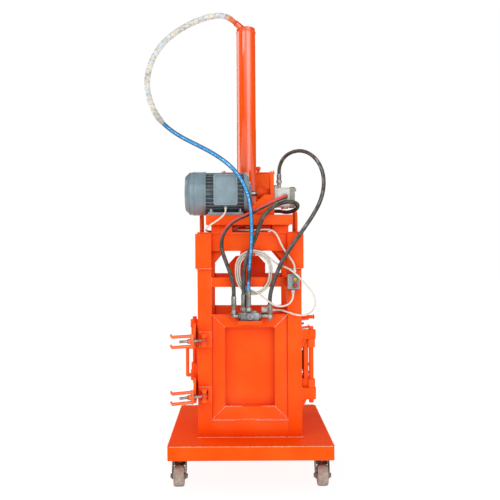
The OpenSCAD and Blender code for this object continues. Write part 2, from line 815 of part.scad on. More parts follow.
pump_h = 104;
pump_d = 90;
pump_drop = 22;
pump_z = axis_z - pump_drop;
spigot_d = 50;
pump_bolts = [34, 38];

// Gear pump: mounting flange with its spigot on the shaft line, gear case and end cover
module gear_pump() {
  color("lightgray") translate([0, motor_y, pump_z]) {
    translate([0, 0, pump_drop]) rod_x(spigot_d - 0.2, bracket_x[0] + 2, pump_x[0]);
    rotate([90, 0, 90]) {
      translate([0, 0, pump_x[0]]) slab_upright(pump_d + 18, pump_h, 14);
      translate([0, 0, pump_x[0] + 14]) slab_upright(pump_d, pump_h - 6, 68);
      translate([0, 0, pump_x[0] + 82]) slab_upright(pump_d + 4, pump_h, 24);
    }
    translate([182, 0, 0]) rod_y(34, -pump_d / 2 - 12, -pump_d / 2 + 4);
    translate([182, 0, -pump_h / 2 - 6]) cylinder(d = 36, h = 12);
  }
}

module slab_upright(w, h, t) {
  slab(w, h, t, 12);
}

// Tank

tank_y = [84, 260];
tank_z = head_z + head_t + 12;
tank_top = tank_z + tank_h;
lid_over = 8;
lid_t = 6;
tank_t = 4;
filler_d = 16;

// Tank of sheet on two feet, with its lid and filler hole
module oil_tank() {
  color("orangered") {
    difference() {
      union() {
        box_from([-tank_w / 2, tank_y[0], tank_z], [tank_w / 2, tank_y[1], tank_top - lid_t]);
        box_from([-tank_w / 2 - lid_over, tank_y[0] - lid_over, tank_top - lid_t],
          [tank_w / 2 + lid_over, tank_y[1], tank_top]);
      }
      box_from([tank_t - tank_w / 2, tank_y[0] + tank_t, tank_z + tank_t],
        [tank_w / 2 - tank_t, tank_y[1] - tank_t, tank_top - lid_t]);
      translate([cap_at.x, cap_at.y, tank_top - lid_t - 1]) cylinder(d = filler_d, h = lid_t + 2);
    }
    for (x = [-90, 90]) box_from([x - 20, tank_y[0], tank_z - 12], [x + 20, tank_y[1], tank_z]);
  }
}

cap_at = [57, 118];

module filler_cap() {
  color("orangered") translate([cap_at.x, cap_at.y, tank_top + seat]) rotate_extrude() polygon([
    [0, 0], [11, 0], [11, 3], [9, 5], [9, 14], [14, 16], [14, 30], [11, 34], [0, 34]]);
}

// Fastener heads that stand on faces, all of one kind

module machine_bolts() {
  color("gold") {
    translate([ram_x, 0, head_z + head_t + flange_t]) for (i = [0:5]) rotate([0, 0, 60 * i + 30])
      translate([62, 0, 0]) bolt_head(11);
    for (x = [foot_x[0] + 15, foot_x[1] - 15], s = [-1, 1])
      translate([x, motor_y + s * (foot_w / 2 - 18), shelf_top + foot_t]) {
        bolt_head(11);
        translate([0, 0, 9]) cylinder(d = 10, h = 9);
      }
    for (sx = [-1, 1], y = [tank_y[0] + 8, tank_y[1] - 14])
      translate([sx * (tank_w / 2 - 6), y, tank_top]) bolt_head(11);
    for (sy = [-1, 1], sz = [-1, 1])
      translate([pump_x[0] + 106, motor_y + sy * pump_bolts.x, pump_z + sz * pump_bolts.y])
        rotate([0, 90, 0]) bolt_head(9);
    for (a = [45:90:315]) translate([bell_x[0] + 26, motor_y, axis_z]) rotate([a, 0, 0])
      translate([0, 0, 70]) rotate([0, 90, 0]) bolt_head(8);
  }
}

// Valve and fittings

valve_y = [-306, -254];
valve_z = [tray_z + tray_t, tray_z + tray_t + 47];
valve_half = 45;
valve_mid = -286;
spool_z = valve_z[0] + 22;

// Directional valve: body with rounded lands and the spool's end cap
module valve_block() {
  color("darkgray") {
    box_from([-valve_half, valve_y[0], valve_z[0]], [valve_half, valve_y[1], valve_z[1] - 8]);
    box_from([-32, valve_y[0] + 6, valve_z[1] - 8], [32, valve_y[1] - 6, valve_z[1]]);
    translate([0, valve_mid, spool_z]) {
      rod_x(34, valve_half, valve_half + 10);
      rod_x(34, -valve_half - 10, -valve_half);
    }
    translate([0, valve_y[0], spool_z]) rotate([90, 0, 0]) {
      cylinder(d = 36, h = 4);
      translate([0, 0, 4]) hex_head(30, 12);
    }
  }
}

ferrule_d = hose_d + 5;
a_port = [-6, -299];
b_port = [-30, -284];
p_port = [-79, valve_mid];
t_port = [100, valve_mid];
ferrule_top = 940;
p_top = 915;
t_top = 878;

// Nut and ferrule of one hose end, upright
module hose_end(z0, z1) {
  translate([0, 0, z0]) hex_head(27, 18);
  translate([0, 0, z0 + 18]) cylinder(d = 20, h = 8);
  translate([0, 0, z0 + 26]) cylinder(d = ferrule_d, h = z1 - z0 - 26);
}

module hose_fittings() {
  color("silver") {
    translate([a_port.x, a_port.y, 0]) hose_end(valve_z[1], ferrule_top);
    translate([b_port.x, b_port.y, 0]) hose_end(valve_z[1], ferrule_top - 15);
    translate([p_port.x, p_port.y, 0]) {
      hose_end(spool_z + 12, p_top);
      translate([0, 0, spool_z]) sphere(d = 24);
      translate([0, 0, spool_z]) cylinder(d = 20, h = 12);
      translate([0, 0, spool_z]) rod_x(20, 0, -valve_half - 10 - p_port.x);
    }
    translate([t_port.x, t_port.y, 0]) {
      hose_end(spool_z - 12, t_top);
      translate([0, 0, spool_z - 22]) cylinder(d = 14, h = 10);
      translate([0, 0, spool_z]) rod_x(18, valve_half + 10 - t_port.x, 0);
    }
    translate([return_at.x, return_at.y, return_at.z - 70]) {
      rod_x(20, tank_w / 2 - return_at.x, 0);
      cylinder(d = 22, h = 20);
      translate([0, 0, 20]) hex_head(27, 14);
      translate([0, 0, 34]) cylinder(d = ferrule_d, h = 36);
      sphere(d = 22);
    }
    translate([182, motor_y - pump_d / 2 - 12, pump_z]) rod_y(ferrule_d, -22, 0);
    translate([ram_x + barrel_d / 2 + 20, 0, low_port_z]) rod_x(ferrule_d, 0, 18);
    translate(top_port[0] + (barrel_d / 2 + 22) * unit(top_port[1])) along(top_port[1])
      cylinder(d = ferrule_d, h = 16);
  }
}

return_at = [173, 112, tank_top - 8];

// Hoses: routes by hand, rounded

top_hose_route = [
  top_port[0] + (barrel_d / 2 + 38) * unit(top_port[1]),
  top_port[0] + (barrel_d / 2 + 70) * unit(top_port[1]),
  [-130, -74, 2374], [-190, -90, 2376], [-244, -102, 2360], [-302, -118, 2330], [-360, -138, 2288],
  [-415, -160, 2232], [-458, -185, 2172], [-486, -210, 2110], [-502, -232, 2050], [-506, -255, 1995],
  [-502, -275, 1942], [-486, -298, 1882], [-458, -320, 1818], [-415, -342, 1762], [-355, -362, 1712],
  [-288, -376, 1672], [-222, -386, 1638], [-155, -392, 1598], [-90, -395, 1548], [-44, -396, 1490],
  [-14, -394, 1430], [1, -388, 1368], [8, -377, 1306], [10, -364, 1244], [8, -349, 1180],
  [4, -334, 1116], [-1, -318, 1055], [-5, -305, 1000], [a_port.x, a_port.y, 965],
  [a_port.x, a_port.y, ferrule_top]];
pump_hose_route = [
  [182, motor_y - pump_d / 2 - 34, pump_z], [182, -286, pump_z], [170, -303, 1403], [142, -315, 1388],
  [100, -322, 1370], [58, -326, 1350], [18, -328, 1328], [-25, -330, 1306], [-72, -332, 1280],
  [-110, -330, 1246], [-134, -322, 1205], [-138, -312, 1162], [-126, -302, 1115], [-106, -294, 1062],
  [-88, -288, 1000], [p_port.x, p_port.y, 950], [p_port.x, p_port.y, p_top]];
loop_hose_route = [
  [ram_x + barrel_d / 2 + 38, 0, low_port_z], [112, 0, low_port_z], [147, -16, 1349], [172, -54, 1347],
  [190, -105, 1341], [208, -155, 1337], [232, -200, 1338], [252, -240, 1352], [252, -278, 1376],
  [228, -306, 1391], [190, -332, 1392], [148, -348, 1380], [104, -356, 1352], [74, -356, 1322],
  [54, -350, 1285], [42, -336, 1240], [26, -320, 1195], [4, -309, 1150], [-15, -301, 1100],
  [-26, -293, 1040], [-30, -286, 985], [b_port.x, b_port.y, 950], [b_port.x, b_port.y, ferrule_top - 15]];
return_hose_route = [
  return_at, [return_at.x, return_at.y, tank_top + 22], [184, 96, tank_top + 60], [208, 66, tank_top + 88],
  [242, 32, tank_top + 102], [278, -6, tank_top + 104], [312, -46, tank_top + 92], [340, -88, 1634],
  [362, -130, 1596], [375, -168, 1555], [380, -200, 1512], [377, -228, 1465], [366, -250, 1418],
  [348, -272, 1372], [322, -290, 1328], [286, -303, 1273], [242, -312, 1213], [202, -314, 1155],
  [168, -310, 1103], [146, -304, 1058], [128, -298, 1010], [112, -292, 965], [103, -288, 925],
  [t_port.x, t_port.y, 900], [t_port.x, t_port.y, t_top]];

module top_hose() { color("dodgerblue") cord_tube(top_hose_route, hose_d); }
module pump_hose() { color("dimgray") cord_tube(pump_hose_route, hose_d); }
module loop_hose() { color("dimgray") cord_tube(loop_hose_route, hose_d); }
module return_hose() { color("dimgray") cord_tube(return_hose_route, hose_d); }

// Switch box and cables

sbox = [[187, -330, 954], [244, -half, 1025]];
button_x = 222;
button_zs = [1002, 973];
button_d = 18;
button_hole = button_d + 1;
gland_h = 12;

// Steel box with an inset front and two button holes
module switch_box() {
  color("darkgray") {
    difference() {
      box_from(sbox[0], sbox[1]);
      translate([0, sbox[0].y - 1, 0]) box_from([sbox[0].x + 6, 0, sbox[0].z + 6],
        [sbox[1].x - 6, 3, sbox[1].z - 6]);
      for (z = button_zs) translate([button_x, 0, z]) rod_y(button_hole, sbox[0].y - 1, sbox[0].y + 30);
    }
    translate([button_x, -300, sbox[1].z]) cylinder(d = 16, h = gland_h);
    translate([button_x - 8, -300, sbox[0].z - gland_h]) cylinder(d = 16, h = gland_h);
  }
}

module push_button(z) {
  translate([button_x, 0, z]) rod_y(button_d, sbox[0].y - 7, sbox[0].y + 22);
}

module start_button() { color("green") push_button(button_zs[0]); }
module stop_button() { color("red") push_button(button_zs[1]); }

lead_x = (tbox_x[0] + tbox_x[1]) / 2;
motor_lead_route = [
  [lead_x, -318, tbox_z[0] - 10], [lead_x, -318, 1340], [-128, -317, 1324], [-150, -315, 1310],
  [-172, -312, 1292], [-194, -306, 1272], [-210, -296, 1258], [-216, -278, 1250], [-216, -250, 1247],
  [-215, -210, 1245], [-213, -160, 1243], [-208, -112, 1242], [-190, -76, 1242], [-155, -64, 1242],
  [-118, -66, 1242], [-80, -84, 1243], [-70, -130, 1245], [-66, -190, 1248], [-48, -228, 1246],
  [-14, -244, 1243], [40, -250, 1243], [80, -258, 1246], [108, -272, 1248], [130, -279, 1238],
  [143, -281, 1212], [150, -282, 1180], [166, -284, 1150], [192, -287, 1116], [214, -293, 1084],
  [button_x, -300, 1062], [button_x, -300, sbox[1].z + gland_h]];

// Mains lead: from the box to the coil, and on from the coil to the plug
coil_top = 1150;
coil_low = 918;
coil_x = [-76, 126];
coil_band = 30;
coil_y = [-271, -260];
plug_at = [95, -228, deck_z + panel_h + 18 + seat];
box_to_coil_route = [
  [button_x - 8, -300, sbox[0].z - gland_h], [button_x - 8, -300, 924], [210, -302, 902], [196, -305, 882],
  [172, -308, 870], [146, -314, 868], [118, -316, 876], [92, -308, 892], [74, -290, 910], [66, -273, 926]];
coil_to_plug_route = [
  [112, -268, 1092], [128, -276, 1082], [150, -278, 1070], [172, -290, 1062], [192, -322, 1054],
  [216, -347, 1036], [248, -353, 1000], [282, -354, 966], [308, -349, 932], [322, -342, 896],
  [318, -334, 862], [300, -325, 838], [274, -315, 824], [246, -303, 820], [218, -290, 826],
  [196, -278, 834],
  [176, -260, 840], [158, -242, 842], [138, -229, 842], [plug_at.x + 32, -228, plug_at.z],
  [plug_at.x + 20, -228, plug_at.z]];

module motor_lead() { color("ivory") cord_tube(motor_lead_route, cable_d); }

module mains_lead() {
  color("ivory") {
    cord_tube(box_to_coil_route, cable_d);
    cord_tube(coil_to_plug_route, cable_d);
  }
}

// The hung turns as one flat oval band
module mains_coil() {
  w = coil_x[1] - coil_x[0];
  h = coil_top - coil_low;
  color("ivory") translate([(coil_x[0] + coil_x[1]) / 2, coil_y[1], (coil_top + coil_low) / 2])
    rotate([90, 0, 0]) linear_extrude(coil_y[1] - coil_y[0]) difference() {
      coil_outline(w, h);
      coil_outline(w - 2 * coil_band, h - 2 * coil_band);
    }
}

module coil_outline(w, h) {
  for (s = [-1, 1]) translate([0, s * (h - w) / 2]) circle(d = w, $fn = 48);
  square([w, h - w], center = true);
}

module mains_plug() {
  color("ivory") translate(plug_at) rotate([0, -90, 0]) rotate_extrude() polygon([
    [0, -20], [7, -20], [10, 0], [18, 14], [18, 34], [0, 34]]);
}

platform();
caster_mounts();
caster_fork_fl();
caster_fork_fr();
caster_fork_rl();
caster_fork_rr();
caster_wheel_fl();
caster_wheel_fr();
caster_wheel_rl();
caster_wheel_rr();
corner_posts();
frame_beams();
corner_sleeves();
front_panel();
rear_panel();
left_door();
right_door();
left_door_irons();
right_door_irons();
hinge_rods();
latch_brackets();
latch_bolt_left_upper();
latch_bolt_left_lower();
latch_bolt_right_upper();
latch_bolt_right_lower();
hand_nut_left_upper();
hand_nut_left_lower();
hand_nut_right_upper();
hand_nut_right_lower();
cable_peg();
platen();
ram_rod();
cylinder_barrel();
cylinder_gland();
head_plate();
cylinder_cheeks();
motor_shelf();
motor_body();
motor_cowl();
motor_shaft();
terminal_box();
coupling();
pump_bracket();
gear_pump();
oil_tank();
filler_cap();
machine_bolts();
valve_block();
hose_fittings();
top_hose();
pump_hose();
loop_hose();
return_hose();
switch_box();
start_button();
stop_button();
motor_lead();
mains_lead();
mains_coil();
mains_plug();
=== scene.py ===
import json
import math
from functools import partial
import bpy
import bmesh
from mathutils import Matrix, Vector
from mathutils.noise import noise as perlin

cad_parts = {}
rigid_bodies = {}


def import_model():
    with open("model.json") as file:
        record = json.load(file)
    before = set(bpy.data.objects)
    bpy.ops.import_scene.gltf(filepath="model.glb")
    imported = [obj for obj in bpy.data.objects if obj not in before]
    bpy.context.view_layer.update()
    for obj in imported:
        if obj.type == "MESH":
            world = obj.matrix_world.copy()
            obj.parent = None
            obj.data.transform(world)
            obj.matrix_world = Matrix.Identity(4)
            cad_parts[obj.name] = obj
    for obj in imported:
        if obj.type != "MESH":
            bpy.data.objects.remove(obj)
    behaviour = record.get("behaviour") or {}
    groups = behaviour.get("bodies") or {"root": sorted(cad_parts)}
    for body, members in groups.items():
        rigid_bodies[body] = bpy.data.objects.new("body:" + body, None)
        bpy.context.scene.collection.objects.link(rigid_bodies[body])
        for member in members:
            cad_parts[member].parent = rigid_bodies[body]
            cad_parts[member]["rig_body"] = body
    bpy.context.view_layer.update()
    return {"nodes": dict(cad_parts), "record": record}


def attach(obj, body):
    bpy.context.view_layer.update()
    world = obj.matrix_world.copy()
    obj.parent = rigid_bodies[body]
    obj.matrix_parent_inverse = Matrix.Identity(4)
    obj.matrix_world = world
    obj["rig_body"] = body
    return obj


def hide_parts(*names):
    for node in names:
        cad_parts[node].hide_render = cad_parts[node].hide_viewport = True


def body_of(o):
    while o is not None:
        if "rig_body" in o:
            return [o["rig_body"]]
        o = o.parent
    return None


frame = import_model()
scene = bpy.context.scene
nodes = frame["nodes"]
wholeTurn = 2 * math.pi
print("stage: frame loaded", len(nodes), "nodes", flush=True)


# Node building, for shaders, the world and the repeats alike

def feed(tree, socket, value):
    if isinstance(value, bpy.types.NodeSocket):
        tree.links.new(value, socket)
    elif isinstance(value, (tuple, list)) and len(value) == 3 and socket.type == "RGBA":
        socket.default_value = (*value, 1)
    else:
        socket.default_value = value


def addNode(tree, kind, inputs=None, **props):
    made = tree.nodes.new(kind)
    for key, value in props.items():
        setattr(made, key, value)
    for key, value in (inputs or {}).items():
        feed(tree, made.inputs[key], value)
    return made


class Shader:
    def __init__(self, name, **values):
        self.mat = bpy.data.materials.new(name)
        self.mat.use_nodes = True
        self.tree = self.mat.node_tree
        self.tree.nodes.clear()
        self.add = partial(addNode, self.tree)
        out = self.add("ShaderNodeOutputMaterial")
        self.bsdf = self.add("ShaderNodeBsdfPrincipled")
        self.tree.links.new(self.bsdf.outputs["BSDF"], out.inputs["Surface"])
        self.place = self.add("ShaderNodeTexCoord").outputs["Object"]
        for key, value in values.items():
            self.put(key, value)

    def put(self, key, value):
        feed(self.tree, self.bsdf.inputs[key.replace("_", " ")], value)

    def noise(self, scale, detail=3, rough=0.55, at=None, distort=0.0):
        return self.add("ShaderNodeTexNoise", {"Vector": at or self.place, "Scale": scale, "Detail": detail,
                                               "Roughness": rough, "Distortion": distort}).outputs["Fac"]

    def cells(self, scale):
        return self.add("ShaderNodeTexVoronoi", {"Vector": self.place, "Scale": scale}).outputs["Distance"]

    def stretch(self, x, y, z):
        return self.add("ShaderNodeMapping", {"Vector": self.place, "Scale": (x, y, z)}).outputs["Vector"]

    def vector(self, kind, inputs, out="Vector"):
        return self.add("ShaderNodeVectorMath", inputs, operation=kind).outputs[out]

    def normal(self):
        return self.add("ShaderNodeNewGeometry").outputs["Normal"]

    def sum(self, kind, a, b=0.0):
        return self.add("ShaderNodeMath", {0: a, 1: b}, operation=kind).outputs[0]

    def times(self, a, b):
        return self.sum("MULTIPLY", a, b)

    def fit(self, value, low, high, a=0.0, b=1.0):
        return self.add("ShaderNodeMapRange", {"Value": value, "From Min": low, "From Max": high,
                                               "To Min": a, "To Max": b}, clamp=True).outputs["Result"]

    def mix(self, fac, a, b):
        return self.add("ShaderNodeMix", {0: fac, 6: a, 7: b}, data_type="RGBA").outputs[2]

    def bump(self, *layers):
        normal = None
        for height, strength, reach in layers:
            made = self.add("ShaderNodeBump", {"Height": height, "Strength": strength, "Distance": reach})
            if normal:
                feed(self.tree, made.inputs["Normal"], normal)
            normal = made.outputs["Normal"]
        self.put("Normal", normal)

    def axis(self, which, at=None):
        return self.add("ShaderNodeSeparateXYZ", {"Vector": at or self.place}).outputs[which]

    def attribute(self, name):
        return self.add("ShaderNodeAttribute", attribute_name=name).outputs["Fac"]

    def shade(self, reach, gain=1.0):
        made = self.add("ShaderNodeAmbientOcclusion", {"Distance": reach}, samples=6)
        return self.fit(made.outputs["AO"], 0.35, 0.95, 1 - gain, 1.0)

    def edges(self, radius):
        soft = self.add("ShaderNodeBevel", {"Radius": radius}, samples=4).outputs["Normal"]
        dot = self.vector("DOT_PRODUCT", {0: soft, 1: self.normal()}, "Value")
        return self.fit(self.sum("SUBTRACT", 1.0, dot), 0.02, 0.12)


def hexColour(code):
    parts = [int(code[i:i + 2], 16) / 255 for i in (0, 2, 4)]
    return tuple(p / 12.92 if p < 0.04045 else ((p + 0.055) / 1.055) ** 2.4 for p in parts)


def col(code, gain=1.0):
    return tuple(min(1.0, c * gain) for c in hexColour(code))


# Orange enamel: orange peel, sheet waves, thin pale edges that are partly chipped paint and partly painted highlight,
# painted red shade in the corners, dust low down
orangeLook = dict(lit="FF5206", pale="FF5E12", deep="D81404", dust="C85A2C", chipAndHighlight="FF9668", peel=420, waves=7,
                  gloss=0.24, spread=0.2, level=0.13, coat=0.02, lens=1.5, grain=0.05, corner=0.6, dirt=0.08,
                  fleck=0.08, ripple=0.35)
barrelLook = dict(orangeLook, lit="FF5200", pale="FF5A00", level=1.0, coat=1.0, lens=1.6, gloss=0.08, spread=0.03,
                  waves=3, ripple=0.03, grain=0.004, chipAndHighlight="FF6A30")
# Deck: its up-facing faces take a darker red-orange, a painted shade
deckLook = dict(orangeLook, top="EE4A04", level=0.06, coat=0.0, gloss=0.4, dirt=0.0, fleck=0.0, peel=90)


def orangePaint(name="orangePaint", look=orangeLook):
    s = Shader(name, Coat_Weight=look["coat"], Coat_Roughness=0.06, Coat_IOR=look["lens"],
               Specular_IOR_Level=look["level"])
    body = s.mix(s.fit(s.noise(5, 2), 0.35, 0.7), col(look["lit"]), col(look["pale"]))
    body = s.mix(s.fit(s.noise(60, 4, 0.7), 0.45, 0.8, 0, look["fleck"]), body, col(look["deep"]))
    # Painted shade: the occlusion mask darkens corners and gaps towards deep red, and the corner value sets how strong
    body = s.mix(s.shade(0.07, look["corner"]), col(look["deep"]), body)
    # Pale edges: partly chipped paint, partly a painted highlight along the edges
    wearAndHighlight = s.times(s.edges(0.0022), s.fit(s.noise(160, 4, 0.7), 0.42, 0.62))
    body = s.mix(s.times(wearAndHighlight, 0.75), body, col(look["chipAndHighlight"]))
    # Painted shade: faces turned upwards take the darker top colour
    if "top" in look:
        body = s.mix(s.fit(s.axis("Z", s.normal()), 0.6, 0.9), body, col(look["top"]))
    low = s.fit(s.axis("Z"), 0.12, 0.25, look["dirt"], 0.0)
    dusty = s.times(low, s.fit(s.noise(24, 5, 0.65), 0.55, 0.85))
    body = s.mix(dusty, body, col(look["dust"]))
    s.put("Base Color", body)
    s.put("Roughness", s.sum("ADD", s.fit(s.noise(35, 4), 0.3, 0.8, look["gloss"], look["gloss"] + look["spread"]),
                             s.times(dusty, 0.3)))
    s.bump((s.noise(look["waves"], 2), look["ripple"], 0.004), (s.noise(look["peel"], 2, 0.5), look["grain"], 0.0005))
    return s.mat


# Blue-grey hammered enamel of the motor, with painted shade in its crevices and on its left-facing side, painted
# highlights on its edges and a painted orange reflection on its underside
motorLook = dict(lit="8399A2", deep="72868F", pale="ACBDC3", creviceShade="3A464C", stain="6A6458", glow="8E5A4C")


def motorPaint():
    look = motorLook
    s = Shader("motorPaint", Coat_Weight=0.5, Coat_Roughness=0.12, Specular_IOR_Level=0.3)
    cell = s.cells(520)
    body = s.mix(s.fit(s.noise(18, 4), 0.35, 0.7), col(look["lit"]), col(look["deep"]))
    body = s.mix(s.fit(cell, 0.1, 0.7, 0, 0.12), body, col(look["pale"]))
    # Painted shade: the occlusion mask darkens fins and crevices
    body = s.mix(s.shade(0.03, 0.85), col(look["creviceShade"]), body)
    # Painted highlight: every edge is lightened towards the pale tone
    body = s.mix(s.times(s.edges(0.0015), 0.6), body, col(look["pale"]))
    body = s.mix(s.fit(s.noise(75, 5, 0.7), 0.66, 0.8, 0, 0.4), body, col(look["stain"]))
    side = s.normal()
    # Painted shade: faces turned to the left are darkened
    body = s.mix(s.fit(s.axis("X", side), -0.3, -0.95, 0, 0.65), body, col(look["deep"], 0.45))
    # Painted reflection: faces turned downwards take a reddish glow of the orange frame
    body = s.mix(s.fit(s.axis("Z", side), -0.35, -0.9, 0, 0.5), body, col(look["glow"]))
    s.put("Base Color", body)
    s.put("Roughness", s.fit(s.noise(90, 3), 0.3, 0.8, 0.3, 0.45))
    s.bump((s.noise(11, 2), 0.15, 0.002), (cell, 0.2, 0.0005))
    return s.mat


# Satin grey of the switch box, with painted shade in the corners
boxLook = dict(lit="A9AFAE", deep="6E7474", stain="574F45")


def boxPaint():
    look = boxLook
    s = Shader("boxPaint")
    body = s.mix(s.fit(s.noise(40, 4), 0.3, 0.75), col(look["lit"]), col(look["deep"]))
    # Painted shade: the occlusion mask darkens the corners
    body = s.mix(s.shade(0.02, 0.9), col(look["deep"], 0.4), body)
    body = s.mix(s.fit(s.noise(150, 5, 0.7), 0.6, 0.75, 0, 0.7), body, col(look["stain"]))
    s.put("Base Color", body)
    s.put("Roughness", s.fit(s.noise(120, 3), 0.3, 0.8, 0.35, 0.6))
    s.bump((s.noise(700, 2), 0.2, 0.0005),)
    return s.mat


# Bare and plated metals: two tones, stains, painted shade in the corners, painted highlights on the edges, fine
# scratches along one axis
metalLooks = dict(
    zincSteel=dict(lit="E4E6E4", deep="9A9C98", stain="6F6353", metal=0.85, rough=0.3, grain=(1, 1, 1), size=160),
    yellowZinc=dict(lit="E6CF8C", deep="B59A5A", stain="B98FA0", metal=0.9, rough=0.3, grain=(1, 1, 1), size=120),
    forkSteel=dict(lit="9C968C", deep="5E5952", stain="40362C", metal=0.5, rough=0.45, grain=(1, 1, 4), size=70),
    ferruleSteel=dict(lit="C9C7C0", deep="86837B", stain="5A5248", metal=0.75, rough=0.32, grain=(1, 1, 1), size=130),
    chromeRod=dict(lit="EDEFF0", deep="C8CCCE", stain="8F8A82", metal=1.0, rough=0.12, grain=(1, 1, 0.05), size=900),
    castGrey=dict(lit="AEB3B4", deep="646869", stain="3E3831", metal=0.5, rough=0.36, grain=(1, 1, 1), size=110),
    pumpAlloy=dict(lit="E2E6DE", deep="C2C6BF", stain="7D7466", metal=0.15, rough=0.38, grain=(0.2, 1, 1), size=140),
)


def metalPaint(name, second=None, share=None):
    look = metalLooks[name]
    s = Shader(name if second is None else name + "Part")
    at = s.stretch(*look["grain"])
    body = s.mix(s.fit(s.noise(look["size"] / 4, 3, at=at), 0.35, 0.7), col(look["lit"]), col(look["deep"]))
    if second:
        other = s.mix(s.fit(s.noise(60, 3), 0.35, 0.7), col(second[0]), col(second[1]))
        part = share(s)
        body = s.mix(part, body, other)
        s.put("Metallic", s.times(s.sum("SUBTRACT", 1.0, part), look["metal"]))
    else:
        s.put("Metallic", look["metal"])
    body = s.mix(s.fit(s.noise(look["size"], 5, 0.7, at=at), 0.55, 0.8, 0, 0.6), body, col(look["stain"]))
    # Painted shade: the occlusion mask darkens the corners towards a dark stain tone
    body = s.mix(s.shade(0.015, 0.85), col(look["stain"], 0.5), body)
    # Painted highlight: every edge is lightened towards the lit tone
    body = s.mix(s.times(s.edges(0.0009), 0.6), body, col(look["lit"]))
    s.put("Base Color", body)
    s.put("Roughness", s.fit(s.noise(look["size"], 4, at=at), 0.3, 0.75, look["rough"], look["rough"] + 0.22))
    s.bump((s.noise(look["size"] * 4, 3, at=at), 0.15, 0.0005),)
    return s.mat


# Rubber tread: pinkish beige, dusty and scuffed, with painted shade in the corners
rubberLook = dict(lit="B7A094", deep="8F7B70", dust="CFC0AE")


def rubberPaint():
    look = rubberLook
    s = Shader("wheelRubber")
    body = s.mix(s.fit(s.noise(45, 4), 0.35, 0.7), col(look["lit"]), col(look["deep"]))
    body = s.mix(s.fit(s.noise(260, 5, 0.75), 0.5, 0.7, 0, 0.7), body, col(look["dust"]))
    # Painted shade: the occlusion mask darkens the corners
    body = s.mix(s.shade(0.02, 0.8), col(look["deep"], 0.4), body)
    s.put("Base Color", body)
    s.put("Roughness", s.fit(s.noise(200, 4), 0.3, 0.8, 0.55, 0.85))
    s.bump((s.noise(30, 3), 0.25, 0.002), (s.noise(520, 4, 0.7), 0.35, 0.0008))
    return s.mat


# Plain plastics: cable sheath, plug and buttons, with painted shade in the corners
plasticLooks = dict(
    whiteCable=dict(lit="EFE9DC", deep="C9BFAE", stain="8C7F6C", rough=0.42),
    greenButton=dict(lit="C9A227", deep="8C6B12", stain="5C4A20", rough=0.3),
    redButton=dict(lit="E01A12", deep="96100A", stain="5A1210", rough=0.28),
)


def plasticPaint(name):
    look = plasticLooks[name]
    s = Shader(name, Coat_Weight=0.1)
    body = s.mix(s.fit(s.noise(55, 4), 0.35, 0.7, 0, 0.7), col(look["lit"]), col(look["deep"]))
    body = s.mix(s.fit(s.noise(240, 5, 0.7), 0.58, 0.75, 0, 0.7), body, col(look["stain"]))
    # Painted shade: the occlusion mask darkens the corners
    body = s.mix(s.shade(0.012, 0.85), col(look["deep"], 0.4), body)
    s.put("Base Color", body)
    s.put("Roughness", s.fit(s.noise(300, 3), 0.3, 0.8, look["rough"], look["rough"] + 0.2))
    s.bump((s.noise(900, 2), 0.1, 0.0004),)
    return s.mat


# Hose rubber: "along" is metres from the start of the hose, "around" is turns about it; painted shade on the side away
# from the light, at the silhouettes and in corners, painted highlights on the black hoses, a painted orange reflection
# on the pressure hose
hoseLooks = dict(
    blueHose=dict(lit="00A4EC", deep="047CC8", rim="3E3436", edge=(0.15, 0.32), shine="B4EAFA", grime="6B6A66",
                  low=1.1, above=0.12, spot=0.95, dash=110, rough=0.3, gleam=(0.16, 0.08), oily=1.02,
                  oil="2E2C2B"),
    pressureHose=dict(lit="58534E", deep="2E2A27", rim="24201E", edge=(0.4, 0.85), shine="A8A49E", grime="7E786C",
                      low=9.0, above=0.5, spot=0.3, dash=30, rough=0.28, glow="F0524A"),
    blackHose=dict(lit="5A5651", deep="2E2B28", rim="24201E", edge=(0.4, 0.85), shine="C4C2BC", grime="837E74",
                   low=9.0, above=0.5, spot=0.75, dash=22, rough=0.26),
)


def braid(s, pitch, size):
    lengthways, sideways = s.times(s.attribute("along"), size / pitch), s.times(s.attribute("around"), size)
    rise, fall = (s.sum("SINE", s.times(s.sum(kind, lengthways, sideways), wholeTurn)) for kind in ("ADD", "SUBTRACT"))
    return s.sum("MAXIMUM", rise, fall)


